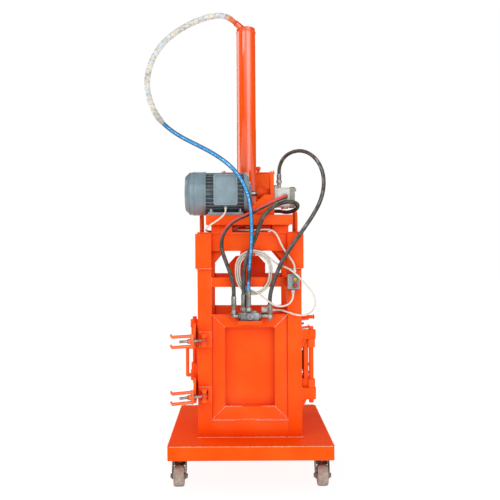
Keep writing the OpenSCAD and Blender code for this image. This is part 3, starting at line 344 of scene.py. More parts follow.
def hosePaint(name):
    look = hoseLooks[name]
    s = Shader(name, Coat_Weight=0.05, Coat_Roughness=0.2, Specular_IOR_Level=0.22)
    weave = braid(s, 0.09, 9)
    body = s.mix(s.fit(s.noise(26, 4), 0.3, 0.7), col(look["lit"]), col(look["deep"]))
    body = s.mix(s.fit(weave, 0.2, 1.0, 0, 0.1), body, col(look["shine"]))
    dashes = s.add("ShaderNodeCombineXYZ", {"X": s.times(s.attribute("along"), look["dash"]),
                                            "Y": s.times(s.attribute("around"), 9)}).outputs["Vector"]
    spots = s.fit(s.noise(1, 3, 0.6, at=dashes), 0.52, 0.62, 0, look["spot"])
    facing = s.add("ShaderNodeLayerWeight", {"Blend": 0.5}).outputs["Facing"]
    # Painted shade: the side turned away from the key light is darkened
    turned = s.vector("DOT_PRODUCT", {0: s.normal(), 1: (-0.35, -0.75, 0.55)}, "Value")
    body = s.mix(s.fit(turned, 0.1, 0.7, 0.7, 0), body, col(look["deep"], 0.45))
    # Dark rim towards the silhouette: painted shade, and on the blue hose also its dark sides
    body = s.mix(s.fit(facing, *look["edge"], 0, 0.9), body, col(look["rim"]))
    # Pale dashes: on the blue hose a printed line on the side facing the camera, on the black hoses painted highlights
    # on the side towards the light
    streak = s.fit(facing, *look["gleam"]) if "gleam" in look else s.fit(turned, 0.82, 0.94)
    body = s.mix(s.times(spots, streak), body, col(look["shine"]))
    soiled = s.fit(s.noise(38, 5, 0.65), 0.5, 0.66, 0, 0.55)
    below = s.fit(s.axis("Z"), look["low"] - 0.12, look["low"] + 0.1, 1.0, look["above"])
    body = s.mix(s.times(soiled, below), body, col(look["grime"]))
    # Painted reflection: the upper side of the pressure hose's first stretch takes the red of the orange frame
    if "glow" in look:
        upper, run = s.fit(s.axis("Z", s.normal()), -0.2, 0.2, 0, 0.92), s.attribute("along")
        part = s.times(s.fit(run, 0.02, 0.06), s.fit(run, 0.36, 0.6, 1, 0))
        body = s.mix(s.times(upper, part), body, col(look["glow"]))
    # A dark band round the blue hose at about 1.02 m height
    if "oily" in look:
        away = s.sum("ABSOLUTE", s.sum("SUBTRACT", s.axis("Z"), look["oily"]))
        body = s.mix(s.fit(s.sum("ADD", away, s.fit(s.noise(60, 3), 0, 1, -0.01, 0.01)), 0.02, 0.034, 0.85, 0),
                     body, col(look["oil"]))
    # Painted shade: the occlusion mask darkens the corners
    body = s.mix(s.shade(0.012, 0.7), col(look["deep"], 0.3), body)
    s.put("Base Color", body)
    s.put("Roughness", s.fit(s.noise(130, 4), 0.3, 0.8, look["rough"], look["rough"] + 0.2))
    s.bump((weave, 0.1, 0.0006), (s.noise(600, 2), 0.08, 0.0004))
    return s.mat


# Cloth tape wound round the upper end of the high hose, with painted shade in the corners
wrapLook = dict(lit="E6E4DC", shade="B6B2A8", ice="CFE6F2", cream="F4EED4", rust="8E5138", soot="6E6A62",
                glow="E8621E", pitch=0.03)


def wrapPaint():
    look = wrapLook
    s = Shader("tapeWrap")
    turn = s.sum("ADD", s.sum("DIVIDE", s.attribute("along"), look["pitch"]), s.attribute("around"))
    band = s.sum("FRACT", turn)
    which = s.add("ShaderNodeTexWhiteNoise", {"W": s.sum("FLOOR", turn)}, noise_dimensions="1D").outputs["Value"]
    body = s.mix(s.fit(s.noise(30, 4), 0.35, 0.7, 0, 0.7), col(look["lit"]), col(look["shade"]))
    run = s.attribute("along")
    body = s.mix(s.fit(which, 0.76, 0.8, 0, 0.6), body, col(look["ice"]))
    body = s.mix(s.fit(which, 0.24, 0.2, 0, 0.6), body, col(look["cream"]))
    body = s.mix(s.fit(s.noise(44, 5, 0.7), 0.52, 0.66, 0, 0.6), body, col(look["soot"]))
    body = s.mix(s.fit(run, 0.84, 0.9, 0, 0.4), body, col(look["soot"]))
    rusty = s.times(s.fit(s.noise(60, 5, 0.7, distort=0.4), 0.55, 0.64), s.fit(run, 0.3, 0.42, 0.85, 0.1))
    body = s.mix(rusty, body, col(look["rust"]))
    body = s.mix(s.fit(run, 0.02, 0.06, 0.9, 0), body, col(look["glow"]))
    scuffed = s.times(s.fit(s.noise(240, 4, 0.8), 0.58, 0.64), s.fit(s.noise(20, 2), 0.5, 0.6))
    body = s.mix(s.times(scuffed, 0.5), body, col(look["soot"], 0.5))
    lap = s.fit(s.sum("ABSOLUTE", s.sum("SUBTRACT", band, 0.5)), 0.42, 0.5)
    body = s.mix(s.times(lap, 0.5), body, col(look["soot"]))
    # Painted shade: the occlusion mask darkens the corners
    body = s.mix(s.shade(0.02, 0.6), col(look["soot"], 0.6), body)
    s.put("Base Color", body)
    s.put("Roughness", s.fit(s.noise(200, 4), 0.3, 0.8, 0.5, 0.8))
    weave = s.noise(1400, 2, at=s.stretch(1, 0.3, 1))
    s.bump((band, 0.4, 0.0008), (s.noise(120, 4), 0.3, 0.001), (weave, 0.2, 0.0005))
    return s.mat


# Parts with a second finish: its two tones, and where it starts
swingPin = dict(at=(0.227, 0.3, 0), flat=(1, 1, 0), reach=(0.018, 0.021), rough=0.004)
secondTones = dict(painted=("FF5206", "D81404"), sprayed=("FF5206", "E83A0A"), zinc=("D8C48C", "A48A4C"),
                   cover=("A39E95", "7E7A72"))


def beyond(axis, start, end):
    return lambda s: s.fit(s.axis(axis), start, end)


def nearPin(s):
    look = swingPin
    place = s.vector("SUBTRACT", {0: s.vector("ABSOLUTE", {0: s.place}), 1: look["at"]})
    away = s.vector("LENGTH", {0: s.vector("MULTIPLY", {0: place, 1: look["flat"]})}, "Value")
    ragged = s.fit(s.noise(120, 4), 0, 1, -look["rough"], look["rough"])
    return s.fit(s.sum("ADD", away, ragged), *look["reach"], 1, 0)


# Weld beads painted paler than the enamel, with less corner shade: a painted highlight
seamHighlightLook = dict(orangeLook, lit="FF8A58", pale="FFB290", level=0.8, coat=0.4, corner=0.2)
# Lighter orange with less corner shade for parts that sit in shadow: painted light
shadowLiftLook = dict(orangeLook, corner=0.3, lit="FF5C12", pale="FF7028")
# Hand nuts: the same lighter orange, painted light, and glossier
nutLook = dict(shadowLiftLook, level=0.6, coat=0.5, gloss=0.2)
paints = {
    "seam_highlight_paint": orangePaint("seamHighlightPaint", seamHighlightLook), "deck_paint": orangePaint("deckPaint", deckLook),
    "shadow_lift_paint": orangePaint("shadowLiftPaint", shadowLiftLook), "nut_paint": orangePaint("nutPaint", nutLook),
    "ferrule_steel": metalPaint("ferruleSteel", secondTones["sprayed"], beyond("Z", 2.25, 2.3)),
    "bolt_steel": metalPaint("zincSteel", secondTones["painted"], nearPin),
    "fixing_zinc": metalPaint("zincSteel", secondTones["zinc"], beyond("X", 0.22, 0.225)),
    "pump_case": metalPaint("pumpAlloy", secondTones["cover"], beyond("X", 0.2065, 0.2075)),
    "orange_paint": orangePaint(), "barrel_paint": orangePaint("barrelPaint", barrelLook),
    "motor_paint": motorPaint(), "box_paint": boxPaint(),
    "fork_steel": metalPaint("forkSteel"), "zinc_steel": metalPaint("zincSteel"),
    "yellow_zinc": metalPaint("yellowZinc"), "chrome_rod": metalPaint("chromeRod"),
    "cast_grey": metalPaint("castGrey"), "pump_alloy": metalPaint("pumpAlloy"), "wheel_rubber": rubberPaint(),
    "blue_hose": hosePaint("blueHose"), "black_hose": hosePaint("blackHose"),
    "pressure_hose": hosePaint("pressureHose"),
    "white_cable": plasticPaint("whiteCable"), "green_button": plasticPaint("greenButton"),
    "red_button": plasticPaint("redButton"), "tape_wrap": wrapPaint(),
}
slotOf = {part["node"]: part["material_slot"] for part in frame["record"]["subparts"]}
bodyOf = {name: body_of(thing)[0] for name, thing in nodes.items()}
print("stage: materials", flush=True)


# Camera: level, at the photograph's place, with its slight roll
cameraLook = dict(at=(-0.055, -3.584, 1.18), lens=47.9, shift=(0.0234, -0.014), roll=0.3)
cameraData = bpy.data.cameras.new("camera")
cameraData.lens, cameraData.sensor_width = cameraLook["lens"], 36
cameraData.shift_x, cameraData.shift_y = cameraLook["shift"]
cameraData.clip_start, cameraData.clip_end = 0.1, 60
camera = bpy.data.objects.new("camera", cameraData)
scene.collection.objects.link(camera)
camera.location = cameraLook["at"]
camera.rotation_euler = (math.pi / 2, math.radians(cameraLook["roll"]), 0)
scene.camera = camera
print("stage: camera", flush=True)


# Mesh helpers

def addPiece(name, mesh, body, slot=None, paint=None, angle=38):
    piece = bpy.data.objects.new(name, mesh)
    scene.collection.objects.link(piece)
    if paint or slot:
        mesh.materials.clear()
        mesh.materials.append(paints[paint or slot])
    smooth(mesh, angle)
    if body:
        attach(piece, body)
    return piece


def smooth(mesh, angle):
    work = bmesh.new()
    work.from_mesh(mesh)
    for face in work.faces:
        face.smooth = True
    limit = math.radians(angle)
    for edge in work.edges:
        edge.smooth = len(edge.link_faces) == 2 and edge.calc_face_angle(0) < limit
    work.to_mesh(mesh)
    work.free()


def meshFrom(work, name):
    mesh = bpy.data.meshes.new(name)
    bmesh.ops.recalc_face_normals(work, faces=work.faces)
    work.to_mesh(mesh)
    work.free()
    return mesh


# One smooth curve through a route in mm, cut into even steps in m: the points and the length
def resample(route, step, fine=24):
    points = [Vector(p) / 1000 for p in route]
    points = [p for i, p in enumerate(points) if i == 0 or (p - points[i - 1]).length > 1e-6]
    ends = [2 * points[0] - points[1]] + points + [2 * points[-1] - points[-2]]
    dense = []
    for a, b, c, d in zip(ends, ends[1:], ends[2:], ends[3:]):
        ta = 0.0
        tb = ta + max((b - a).length, 1e-6) ** 0.5
        tc = tb + max((c - b).length, 1e-6) ** 0.5
        td = tc + max((d - c).length, 1e-6) ** 0.5
        for i in range(fine):
            t = tb + (tc - tb) * i / fine
            p = a * ((tb - t) / (tb - ta)) + b * ((t - ta) / (tb - ta))
            q = b * ((tc - t) / (tc - tb)) + c * ((t - tb) / (tc - tb))
            r = c * ((td - t) / (td - tc)) + d * ((t - tc) / (td - tc))
            u = p * ((tc - t) / (tc - ta)) + q * ((t - ta) / (tc - ta))
            v = q * ((td - t) / (td - tb)) + r * ((t - tb) / (td - tb))
            dense.append(u * ((tc - t) / (tc - tb)) + v * ((t - tb) / (tc - tb)))
    dense.append(points[-1])
    lengths = [0.0]
    for a, b in zip(dense, dense[1:]):
        lengths.append(lengths[-1] + (b - a).length)
    count = max(2, round(lengths[-1] / step))
    even, at = [], 0
    for i in range(count + 1):
        target = lengths[-1] * i / count
        while at < len(dense) - 2 and lengths[at + 1] < target:
            at += 1
        span = lengths[at + 1] - lengths[at]
        even.append(dense[at].lerp(dense[at + 1], 0 if span < 1e-9 else (target - lengths[at]) / span))
    return even, lengths[-1]


# A closed tube that carries how far along and around it each point lies
def tubeMesh(name, points, radius, sides):
    work = bmesh.new()
    along = work.verts.layers.float.new("along")
    around = work.verts.layers.float.new("around")
    tangent = (points[1] - points[0]).normalized()
    side = tangent.orthogonal().normalized()
    rings, run = [], 0.0
    for i, p in enumerate(points):
        ahead = points[min(i + 1, len(points) - 1)] - points[max(i - 1, 0)]
        turn = tangent.rotation_difference(ahead.normalized())
        side = (turn @ side).normalized()
        tangent = ahead.normalized()
        side = (side - tangent * side.dot(tangent)).normalized()
        other = tangent.cross(side)
        if i:
            run += (p - points[i - 1]).length
        ring = []
        for k in range(sides):
            a = wholeTurn * k / sides
            r = radius(run, a) if callable(radius) else radius
            v = work.verts.new(p + r * (math.cos(a) * side + math.sin(a) * other))
            v[along], v[around] = run, k / sides
            ring.append(v)
        rings.append(ring)
    for a, b in zip(rings, rings[1:]):
        for k in range(sides):
            work.faces.new((a[k], a[(k + 1) % sides], b[(k + 1) % sides], b[k]))
    work.faces.new(list(reversed(rings[0])))
    work.faces.new(rings[-1])
    return meshFrom(work, name)


# A turned solid: pairs of radius and height about an axis, in mm
def lathe(work, profile, origin, axis, steps):
    axis = Vector(axis).normalized()
    side = axis.orthogonal().normalized()
    other = axis.cross(side)
    origin = Vector(origin) / 1000
    rings = []
    for r, h in profile:
        centre = origin + axis * h / 1000
        if r <= 0:
            rings.append([work.verts.new(centre)])
            continue
        rings.append([work.verts.new(centre + (math.cos(a) * side + math.sin(a) * other) * r / 1000)
                      for a in (wholeTurn * k / steps for k in range(steps))])
    for a, b in zip(rings, rings[1:]):
        for k in range(steps):
            n = (k + 1) % steps
            if len(a) == 1:
                work.faces.new((a[0], b[n], b[k]))
            elif len(b) == 1:
                work.faces.new((a[k], a[n], b[0]))
            else:
                work.faces.new((a[k], a[n], b[n], b[k]))


# Hoses and leads, close to the routes of the part's source, with no bend tighter than 4 diameters

def unit(v):
    return Vector(v).normalized()


hoseSizes = dict(hose=dict(diameter=0.02, step=0.006, sides=18), cable=dict(diameter=0.009, step=0.005, sides=12))
topStart, topAlong = Vector((-8, 0, 2317)), unit((-0.75, -0.43, 0.5))
topHoseRoute = [
    topStart + 89 * topAlong, (-95.9, -50.2, 2373.7), (-122.6, -63.7, 2379.5), (-155, -77.7, 2378.2),
    (-193.8, -90.4, 2369.4), (-239.8, -101.6, 2352.7), (-286.7, -113.6, 2329.9), (-332.3, -127.9, 2301.5),
    (-375.8, -143.7, 2268.6), (-411.5, -158.6, 2235.3), (-440.3, -173.6, 2199.8), (-464.5, -190, 2160),
    (-483.9, -207.3, 2116.1), (-497.7, -224.6, 2070.6), (-504.9, -242.1, 2025.9), (-505.8, -260.4, 1980.4),
    (-500.5, -277.9, 1935.1), (-488.8, -295.1, 1889.2), (-471.4, -310.9, 1844.4), (-449.7, -325, 1805.3),
    (-422.8, -338.6, 1770.5), (-389.6, -351.5, 1738.5), (-349.9, -363.2, 1708.7), (-302.5, -373.5, 1680),
    (-244.6, -383, 1649.6), (-189.7, -389.3, 1619.7), (-140.8, -392.8, 1588.6), (-100.9, -394.7, 1557.5),
    (-69, -395.8, 1524.6), (-42.2, -396, 1487.4), (-21.3, -394.9, 1447.4), (-6.8, -392, 1405.2),
    (2.8, -386.2, 1357.6), (8.3, -376.5, 1302.7), (9.9, -363.5, 1241.8), (7.8, -347.9, 1174.8), (3, -330.7, 1104),
    (-2.9, -311.5, 1031.4), (-5.6, -300.7, 981.4), (-6, -299, 940)]
pumpHoseRoute = [
    (182, -269, 1410), (181.2, -291, 1409.6), (177.2, -310.5, 1407.8), (169.5, -327.6, 1404.2),
    (158.6, -342.5, 1399.1), (144.8, -354.3, 1392.8), (129, -362.4, 1385.5), (110.9, -366.7, 1377.1),
    (89.5, -367.1, 1367), (61.5, -363.5, 1353.2), (22.2, -355.6, 1333.2), (-14.9, -348.8, 1315.7),
    (-49.6, -343.7, 1300.8), (-73.4, -340.5, 1288), (-92.2, -337.7, 1273.6), (-108.3, -334.6, 1256.4),
    (-121.3, -330.8, 1236.9), (-130.6, -326.2, 1216.3), (-136, -321, 1194.9), (-137.6, -315.2, 1172.6),
    (-135.1, -309.3, 1148.7), (-128.3, -303.4, 1121.5), (-116.2, -297.4, 1087.4), (-102, -292.3, 1048.5),
    (-90.8, -288.9, 1012.3), (-83.1, -286.9, 979.1), (-79.2, -286, 949.1), (-79, -286, 915)]
loopHoseRoute = [
    (81, 0, 1350), (104.9, -1.2, 1350), (125.9, -7, 1349.9), (144, -17.6, 1349.5), (159.1, -32.3, 1348.5),
    (170.4, -50.8, 1346.9), (178, -75, 1344.4), (184.1, -106.6, 1340.8), (191.3, -129.1, 1338.8),
    (202, -147.7, 1338.3), (217, -167.5, 1340.2), (231, -188.1, 1345.3), (240.1, -207.3, 1351.8),
    (244.3, -225.6, 1358.7), (244.3, -243.1, 1365.4), (240.2, -259.8, 1371.5), (232.5, -275.3, 1376.5),
    (221.3, -289.3, 1380.2), (207, -301.5, 1382), (189.2, -311.7, 1381.3), (167.5, -320, 1377.1),
    (142.1, -326.8, 1368.4), (116.5, -332.4, 1355.1), (94.8, -336.7, 1338.9), (77.5, -339.3, 1320.4),
    (63.8, -339.8, 1299.2), (52.2, -337.5, 1273.4), (40.4, -330.9, 1238.7), (26, -321.1, 1198.8),
    (8.3, -311.3, 1158.5), (-7.2, -304.2, 1121.2), (-17.8, -299, 1086.7), (-24.8, -293.9, 1050),
    (-28.7, -288.7, 1009.6), (-30, -284.8, 968.1), (-30, -284, 925)]
returnHoseRoute = [
    (173, 112, 1561), (173.7, 111.2, 1583.4), (177.1, 107.1, 1604), (183.3, 99.8, 1622.5), (192.1, 89.6, 1638.6),
    (203.3, 76.4, 1652.2), (217.3, 60.1, 1663), (234, 41, 1670.6), (252.9, 19.8, 1674.5), (272.2, -1.9, 1674.4),
    (290.7, -23.1, 1670.2), (308.4, -44.5, 1661.8), (325.3, -66.7, 1649.2), (340.6, -89.5, 1632.8),
    (353.8, -112.6, 1613.1), (364.6, -136.1, 1590.2), (372.7, -159.3, 1565.1), (377.8, -180.8, 1538.7),
    (379.9, -200.2, 1511.4), (379, -217.7, 1483), (374.9, -233.6, 1453.3), (367.3, -248.8, 1422.2),
    (356.3, -263.2, 1391.4), (342.2, -276.5, 1361.8), (325.1, -287.9, 1332.3), (305.1, -297.1, 1301.2),
    (281.5, -304.5, 1267), (255, -310.1, 1230.5), (229.2, -313.3, 1194.7), (204.6, -313.9, 1159.5),
    (181.9, -312.1, 1125.1), (162.4, -308.6, 1091.7), (145.5, -304, 1056.2), (129, -298.5, 1014.9),
    (114.5, -292.9, 973.3), (105.2, -288.7, 938.5), (100.6, -286.3, 908.7), (100, -286, 878)]
motorLeadRoute = [
    (-116.5, -318, 1355), (-117.1, -318, 1337.5), (-125.3, -317.8, 1320.5), (-142.3, -316.9, 1303.1),
    (-168.1, -313, 1285.4), (-189.7, -305.2, 1271.5), (-203.4, -294.4, 1261.5), (-211.8, -280, 1254.1),
    (-216.4, -260.1, 1248.6), (-217.5, -229.9, 1245), (-215.9, -184, 1243.3), (-212.9, -140.9, 1242.5),
    (-206.7, -111.7, 1242.1), (-196.8, -91, 1242), (-183, -76.5, 1241.9), (-165, -67, 1241.9),
    (-143.2, -63.1, 1241.9), (-120.5, -65.3, 1242.1), (-101.2, -73.2, 1242.5), (-86.8, -85.5, 1243.1),
    (-76.8, -102.8, 1244), (-70.8, -128.4, 1245.3), (-67.4, -166.4, 1246.8), (-62, -195.3, 1247),
    (-52.7, -215, 1246.3), (-39.3, -229.5, 1245.2), (-20.2, -240, 1244), (7.8, -247.5, 1243.7),
    (48.1, -253.8, 1245.6), (81.8, -261.6, 1247.1), (104.1, -268.8, 1244.4), (119.9, -274.2, 1237.3),
    (132.5, -278.3, 1225.2), (144.1, -281.1, 1204.8), (158.6, -283.1, 1171.3), (176.3, -285.4, 1139.9),
    (198.5, -290.4, 1109.1), (214.6, -296.4, 1083.3), (221.7, -300.1, 1062), (222, -300, 1037)]
boxToCoilRoute = [
    (214, -300, 942), (214, -300, 924), (210, -302, 902), (196, -305, 882),
    (172, -308, 870), (146, -314, 868), (118, -316, 876), (94, -309, 891), (76, -298, 905)]
coilToPlugRoute = [
    (128, -276, 1082), (144.5, -277.7, 1073), (159.7, -284.7, 1066.2), (175.3, -298, 1059.9), (192.3, -317.9, 1051.9),
    (207.1, -334.3, 1042), (220.9, -345.1, 1030.1), (236.2, -351.8, 1015), (255.4, -354.9, 995.2),
    (278.2, -354.6, 971), (298, -351.9, 946.6), (311.4, -348.1, 924.1), (318.5, -344, 903.1), (320.1, -339.6, 883.7),
    (316.7, -334.9, 866), (308.6, -329.8, 850.4), (296.3, -324, 837.5), (280.3, -317.4, 828.1), (261.3, -309.6, 823),
    (239.9, -300, 822.6), (216.6, -287.2, 826.8), (192.5, -269.5, 833.8), (169.7, -249.1, 839.4),
    (151.7, -235.4, 841.4), (134.9, -228.7, 841.6), (115, -228, 841.3)]


# Hung turns of the mains cable: each lap runs in at its inset, and the last one stops on its way to the plug
coilLook = dict(insets=(24.5, 14.75, 5), left=-76, right=126, low=918, high=1150, y=-265.5, steps=20, last=14,
                wave=1.6, waves=3, phase=0.6)


def coilTurns(look):
    insets, steps, points = look["insets"], look["steps"], []
    width, tall = look["right"] - look["left"], look["high"] - look["low"]
    for lap, inset in enumerate(insets):
        final = len(insets) - 1
        for k in range(look["last"] if lap == final else steps):
            turned = k / steps
            closer = (insets[min(lap + 1, final)] - inset) * max(0, turned - 0.8) * 5
            a = -math.pi / 2 - wholeTurn * turned
            r = width / 2 - (inset + closer) + look["wave"] * (math.sin(look["waves"] * a + look["phase"]) - 1)
            middle = (look["high"] + look["low"]) / 2 + math.copysign((tall - width) / 2, math.sin(a))
            points.append((look["left"] + width / 2 + r * math.cos(a), look["y"], middle + r * math.sin(a)))
    return points


mainsRoute = boxToCoilRoute + [(58, -286, 919), (40, -278, 931), (20, -272, 940)]
mainsRoute += coilTurns(coilLook)[1:] + coilToPlugRoute


def hose(name, route, kind, slot, node):
    size = hoseSizes[kind]
    points, length = resample(route, size["step"])
    piece = addPiece(name, tubeMesh(name, points, size["diameter"] / 2, size["sides"]), "frame", slot, angle=60)
    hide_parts(*([node] if isinstance(node, str) else node))
    print("cord", name, round(length, 3), flush=True)
    return piece


hose("highHose", topHoseRoute, "hose", "blue_hose", "top_hose")

# Tape wound over the upper part of the high hose, thick and lumpy, thinner at both ends
tapeLook = dict(end=0.955, radius=0.0148, step=0.0045, sides=28, under=0.0004, sunk=0.001, lap=0.0007, lump=0.0009,
                lumpsAlong=30, lumpsAround=1.2, fadeOut=0.035, start=0.55, fadeIn=0.06)


def tapeRadius(run, angle):
    look, rubber, wide = tapeLook, hoseSizes["hose"]["diameter"] / 2, tapeLook["lumpsAround"]
    lap = (run / wrapLook["pitch"] + angle / wholeTurn) % 1
    lumps = perlin(Vector((run * look["lumpsAlong"], math.cos(angle) * wide, math.sin(angle) * wide)))
    ease = max(0.0, min(1.0, (look["end"] - run) / look["fadeOut"], look["start"] + run / look["fadeIn"]))
    return rubber + look["under"] + ease * (look["radius"] - rubber - look["sunk"] + look["lap"] * lap
                                            + look["lump"] * lumps)


tapePoints = resample(topHoseRoute, tapeLook["step"])[0][:round(tapeLook["end"] / tapeLook["step"]) + 1]
tape = addPiece("hoseTape", tubeMesh("hoseTape", tapePoints, tapeRadius, tapeLook["sides"]), "frame", None,
                "tape_wrap", angle=60)

pumpHose = hose("pressureHose", pumpHoseRoute, "hose", "black_hose", "pump_hose")
pumpHose.data.materials[0] = paints["pressure_hose"]
hose("lowHose", loopHoseRoute, "hose", "black_hose", "loop_hose")
hose("returnHose", returnHoseRoute, "hose", "black_hose", "return_hose")
hose("motorCable", motorLeadRoute, "cable", "white_cable", "motor_lead")
hose("mainsCable", mainsRoute, "cable", "white_cable", ["mains_lead", "mains_coil"])
print("stage: cords", flush=True)


# Dressed copies of the CAD nodes: clean faces, rounded edges
dressLook = dict(edge=0.0009, small=0.0005, sheet=0.0014, weld=0.00002, flat=0.6, sharp=42, steps=2)
thinNodes = {"machine_bolts", "hose_fittings", "valve_block", "start_button", "stop_button", "switch_box",
             "filler_cap", "coupling", "motor_shaft", "cable_peg", "terminal_box", "mains_plug"}
sheetNodes = {"platform", "front_panel", "rear_panel", "left_door", "right_door", "oil_tank"}
cordNodes = {"top_hose", "pump_hose", "loop_hose", "return_hose", "motor_lead", "mains_lead", "mains_coil"}
ownPaint = {"cylinder_barrel": "barrel_paint", "platform": "deck_paint", "machine_bolts": "fixing_zinc",
            "gear_pump": "pump_case", "hose_fittings": "ferrule_steel", "motor_shaft": "zinc_steel"}
ownPaint.update({node: "bolt_steel" for node in nodes if node.startswith("latch_bolt_")})
ownPaint.update({node: "nut_paint" for node in nodes if node.startswith("hand_nut")})
# These parts sit in shadow and take the lighter orange, a painted light
ownPaint.update({node: "shadow_lift_paint" for node in ("left_door_irons", "right_door_irons", "cylinder_cheeks", "oil_tank",
                                                 "latch_brackets")})


def cleanCopy(node):
    work = bmesh.new()
    work.from_mesh(nodes[node].data)
    bmesh.ops.remove_doubles(work, verts=work.verts, dist=dressLook["weld"])
    bmesh.ops.dissolve_limit(work, angle_limit=math.radians(dressLook["flat"]), verts=work.verts, edges=work.edges)
    return work


def bake(piece):
    done = bpy.data.meshes.new_from_object(piece.evaluated_get(bpy.context.evaluated_depsgraph_get()))
    bpy.data.objects.remove(piece)
    return done


def dress(node):
    size = "small" if node in thinNodes else "sheet" if node in sheetNodes else "edge"
    piece = bpy.data.objects.new(node + ".dressed", meshFrom(cleanCopy(node), node + ".dressed"))
    scene.collection.objects.link(piece)
    bevel = piece.modifiers.new("bevel", "BEVEL")
    bevel.width, bevel.segments, bevel.limit_method = dressLook[size], dressLook["steps"], "ANGLE"
    bevel.angle_limit, bevel.miter_outer = math.radians(dressLook["sharp"]), "MITER_ARC"
    bevel.use_clamp_overlap = True
    made = addPiece(node + ".dressed", bake(piece), bodyOf[node], slotOf[node], ownPaint.get(node), angle=40)
    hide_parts(node)
    return made


dressed = [dress(node) for node in nodes if node not in cordNodes]
print("stage: dressed", sum(len(p.data.polygons) for p in dressed), "faces", flush=True)


# Repeats by Geometry Nodes: rough weld beads or wire rings, spaced along the edges of a mesh

def growTree(name, sockets, build):
    tree = bpy.data.node_groups.new(name, "GeometryNodeTree")
    tree.interface.new_socket("Geometry", in_out="INPUT", socket_type="NodeSocketGeometry")
    for label, kind, value in sockets + [("Paint", "Material", None)]:
        made = tree.interface.new_socket(label, in_out="INPUT", socket_type="NodeSocket" + kind)
        if value is not None:
            made.default_value = value
    tree.interface.new_socket("Geometry", in_out="OUTPUT", socket_type="NodeSocketGeometry")
    given = tree.nodes.new("NodeGroupInput").outputs
    add = partial(addNode, tree)
    curve = add("GeometryNodeMeshToCurve", {"Mesh": given["Geometry"]}).outputs[0]
    points = add("GeometryNodeCurveToPoints", {"Curve": curve, "Length": given["Spacing"]}, mode="LENGTH").outputs
    placed = build(add, given, points)
    solid = add("GeometryNodeRealizeInstances", {"Geometry": placed}).outputs[0]
    painted = add("GeometryNodeSetMaterial", {"Geometry": solid, "Material": given["Paint"]}).outputs[0]
    tree.links.new(painted, tree.nodes.new("NodeGroupOutput").inputs[0])
    return tree


def beadParts(add, given, points):
    shift = add("FunctionNodeRandomValue", {0: (-1, -1, -1), 1: (1, 1, 1), "Seed": given["Seed"]},
                data_type="FLOAT_VECTOR").outputs[0]
    shift = add("ShaderNodeVectorMath", {0: shift, "Scale": given["Jitter"]}, operation="SCALE").outputs[0]
    moved = add("GeometryNodeSetPosition", {"Geometry": points["Points"], "Offset": shift}).outputs[0]
    ball = add("GeometryNodeMeshIcoSphere", {"Radius": given["Size"], "Subdivisions": 2}).outputs["Mesh"]
    sizes = add("FunctionNodeRandomValue", {0: (0.55, 0.55, 0.8), 1: (1.1, 1.1, 1.5), "Seed": given["Seed"]},
                data_type="FLOAT_VECTOR").outputs[0]
    return add("GeometryNodeInstanceOnPoints", {"Points": moved, "Instance": ball, "Scale": sizes,
                                                "Rotation": points["Rotation"]}).outputs[0]


def ringParts(add, given, points):
    loop = add("GeometryNodeCurvePrimitiveCircle", {"Resolution": 20, "Radius": given["Radius"]}).outputs["Curve"]
    wire = add("GeometryNodeCurvePrimitiveCircle", {"Resolution": 6, "Radius": given["Wire"]}).outputs["Curve"]
    ring = add("GeometryNodeCurveToMesh", {"Curve": loop, "Profile Curve": wire}).outputs[0]
    return add("GeometryNodeInstanceOnPoints", {"Points": points["Points"], "Instance": ring,
                                                "Rotation": points["Rotation"]}).outputs[0]


beadTree = growTree("weldBeads", [("Spacing", "Float", 0.005), ("Size", "Float", 0.003), ("Jitter", "Float", 0.0004),
                                  ("Seed", "Int", 7)], beadParts)
ringTree = growTree("wireRings", [("Spacing", "Float", 0.002), ("Radius", "Float", 0.008),
                                  ("Wire", "Float", 0.0006)], ringParts)


# Lines in mm become a mesh of edges, and the group puts its repeats along them
def grow(name, lines, tree, body, slot, paint=None, **values):
    mesh = bpy.data.meshes.new(name + ".lines")
    points = [tuple(c / 1000 for c in p) for line in lines for p in line]
    edges, at = [], 0
    for line in lines:
        edges += [(at + i, at + i + 1) for i in range(len(line) - 1)]
        at += len(line)
    mesh.from_pydata(points, edges, [])
    piece = bpy.data.objects.new(name + ".lines", mesh)
    scene.collection.objects.link(piece)
    modifier = piece.modifiers.new("grow", "NODES")
    modifier.node_group = tree
    values["Paint"] = paints[paint or slot]
    for item in tree.interface.items_tree:
        if item.in_out == "INPUT" and item.name in values:
            modifier[item.identifier] = values[item.name]
    made = addPiece(name, bake(piece), body, angle=70)
    print("grown", name, len(made.data.polygons), flush=True)


# The rear is the front turned by half a turn
def mirrored(lines):
    return lines + [[(-x, -y, z) for x, y, z in line] for line in lines]


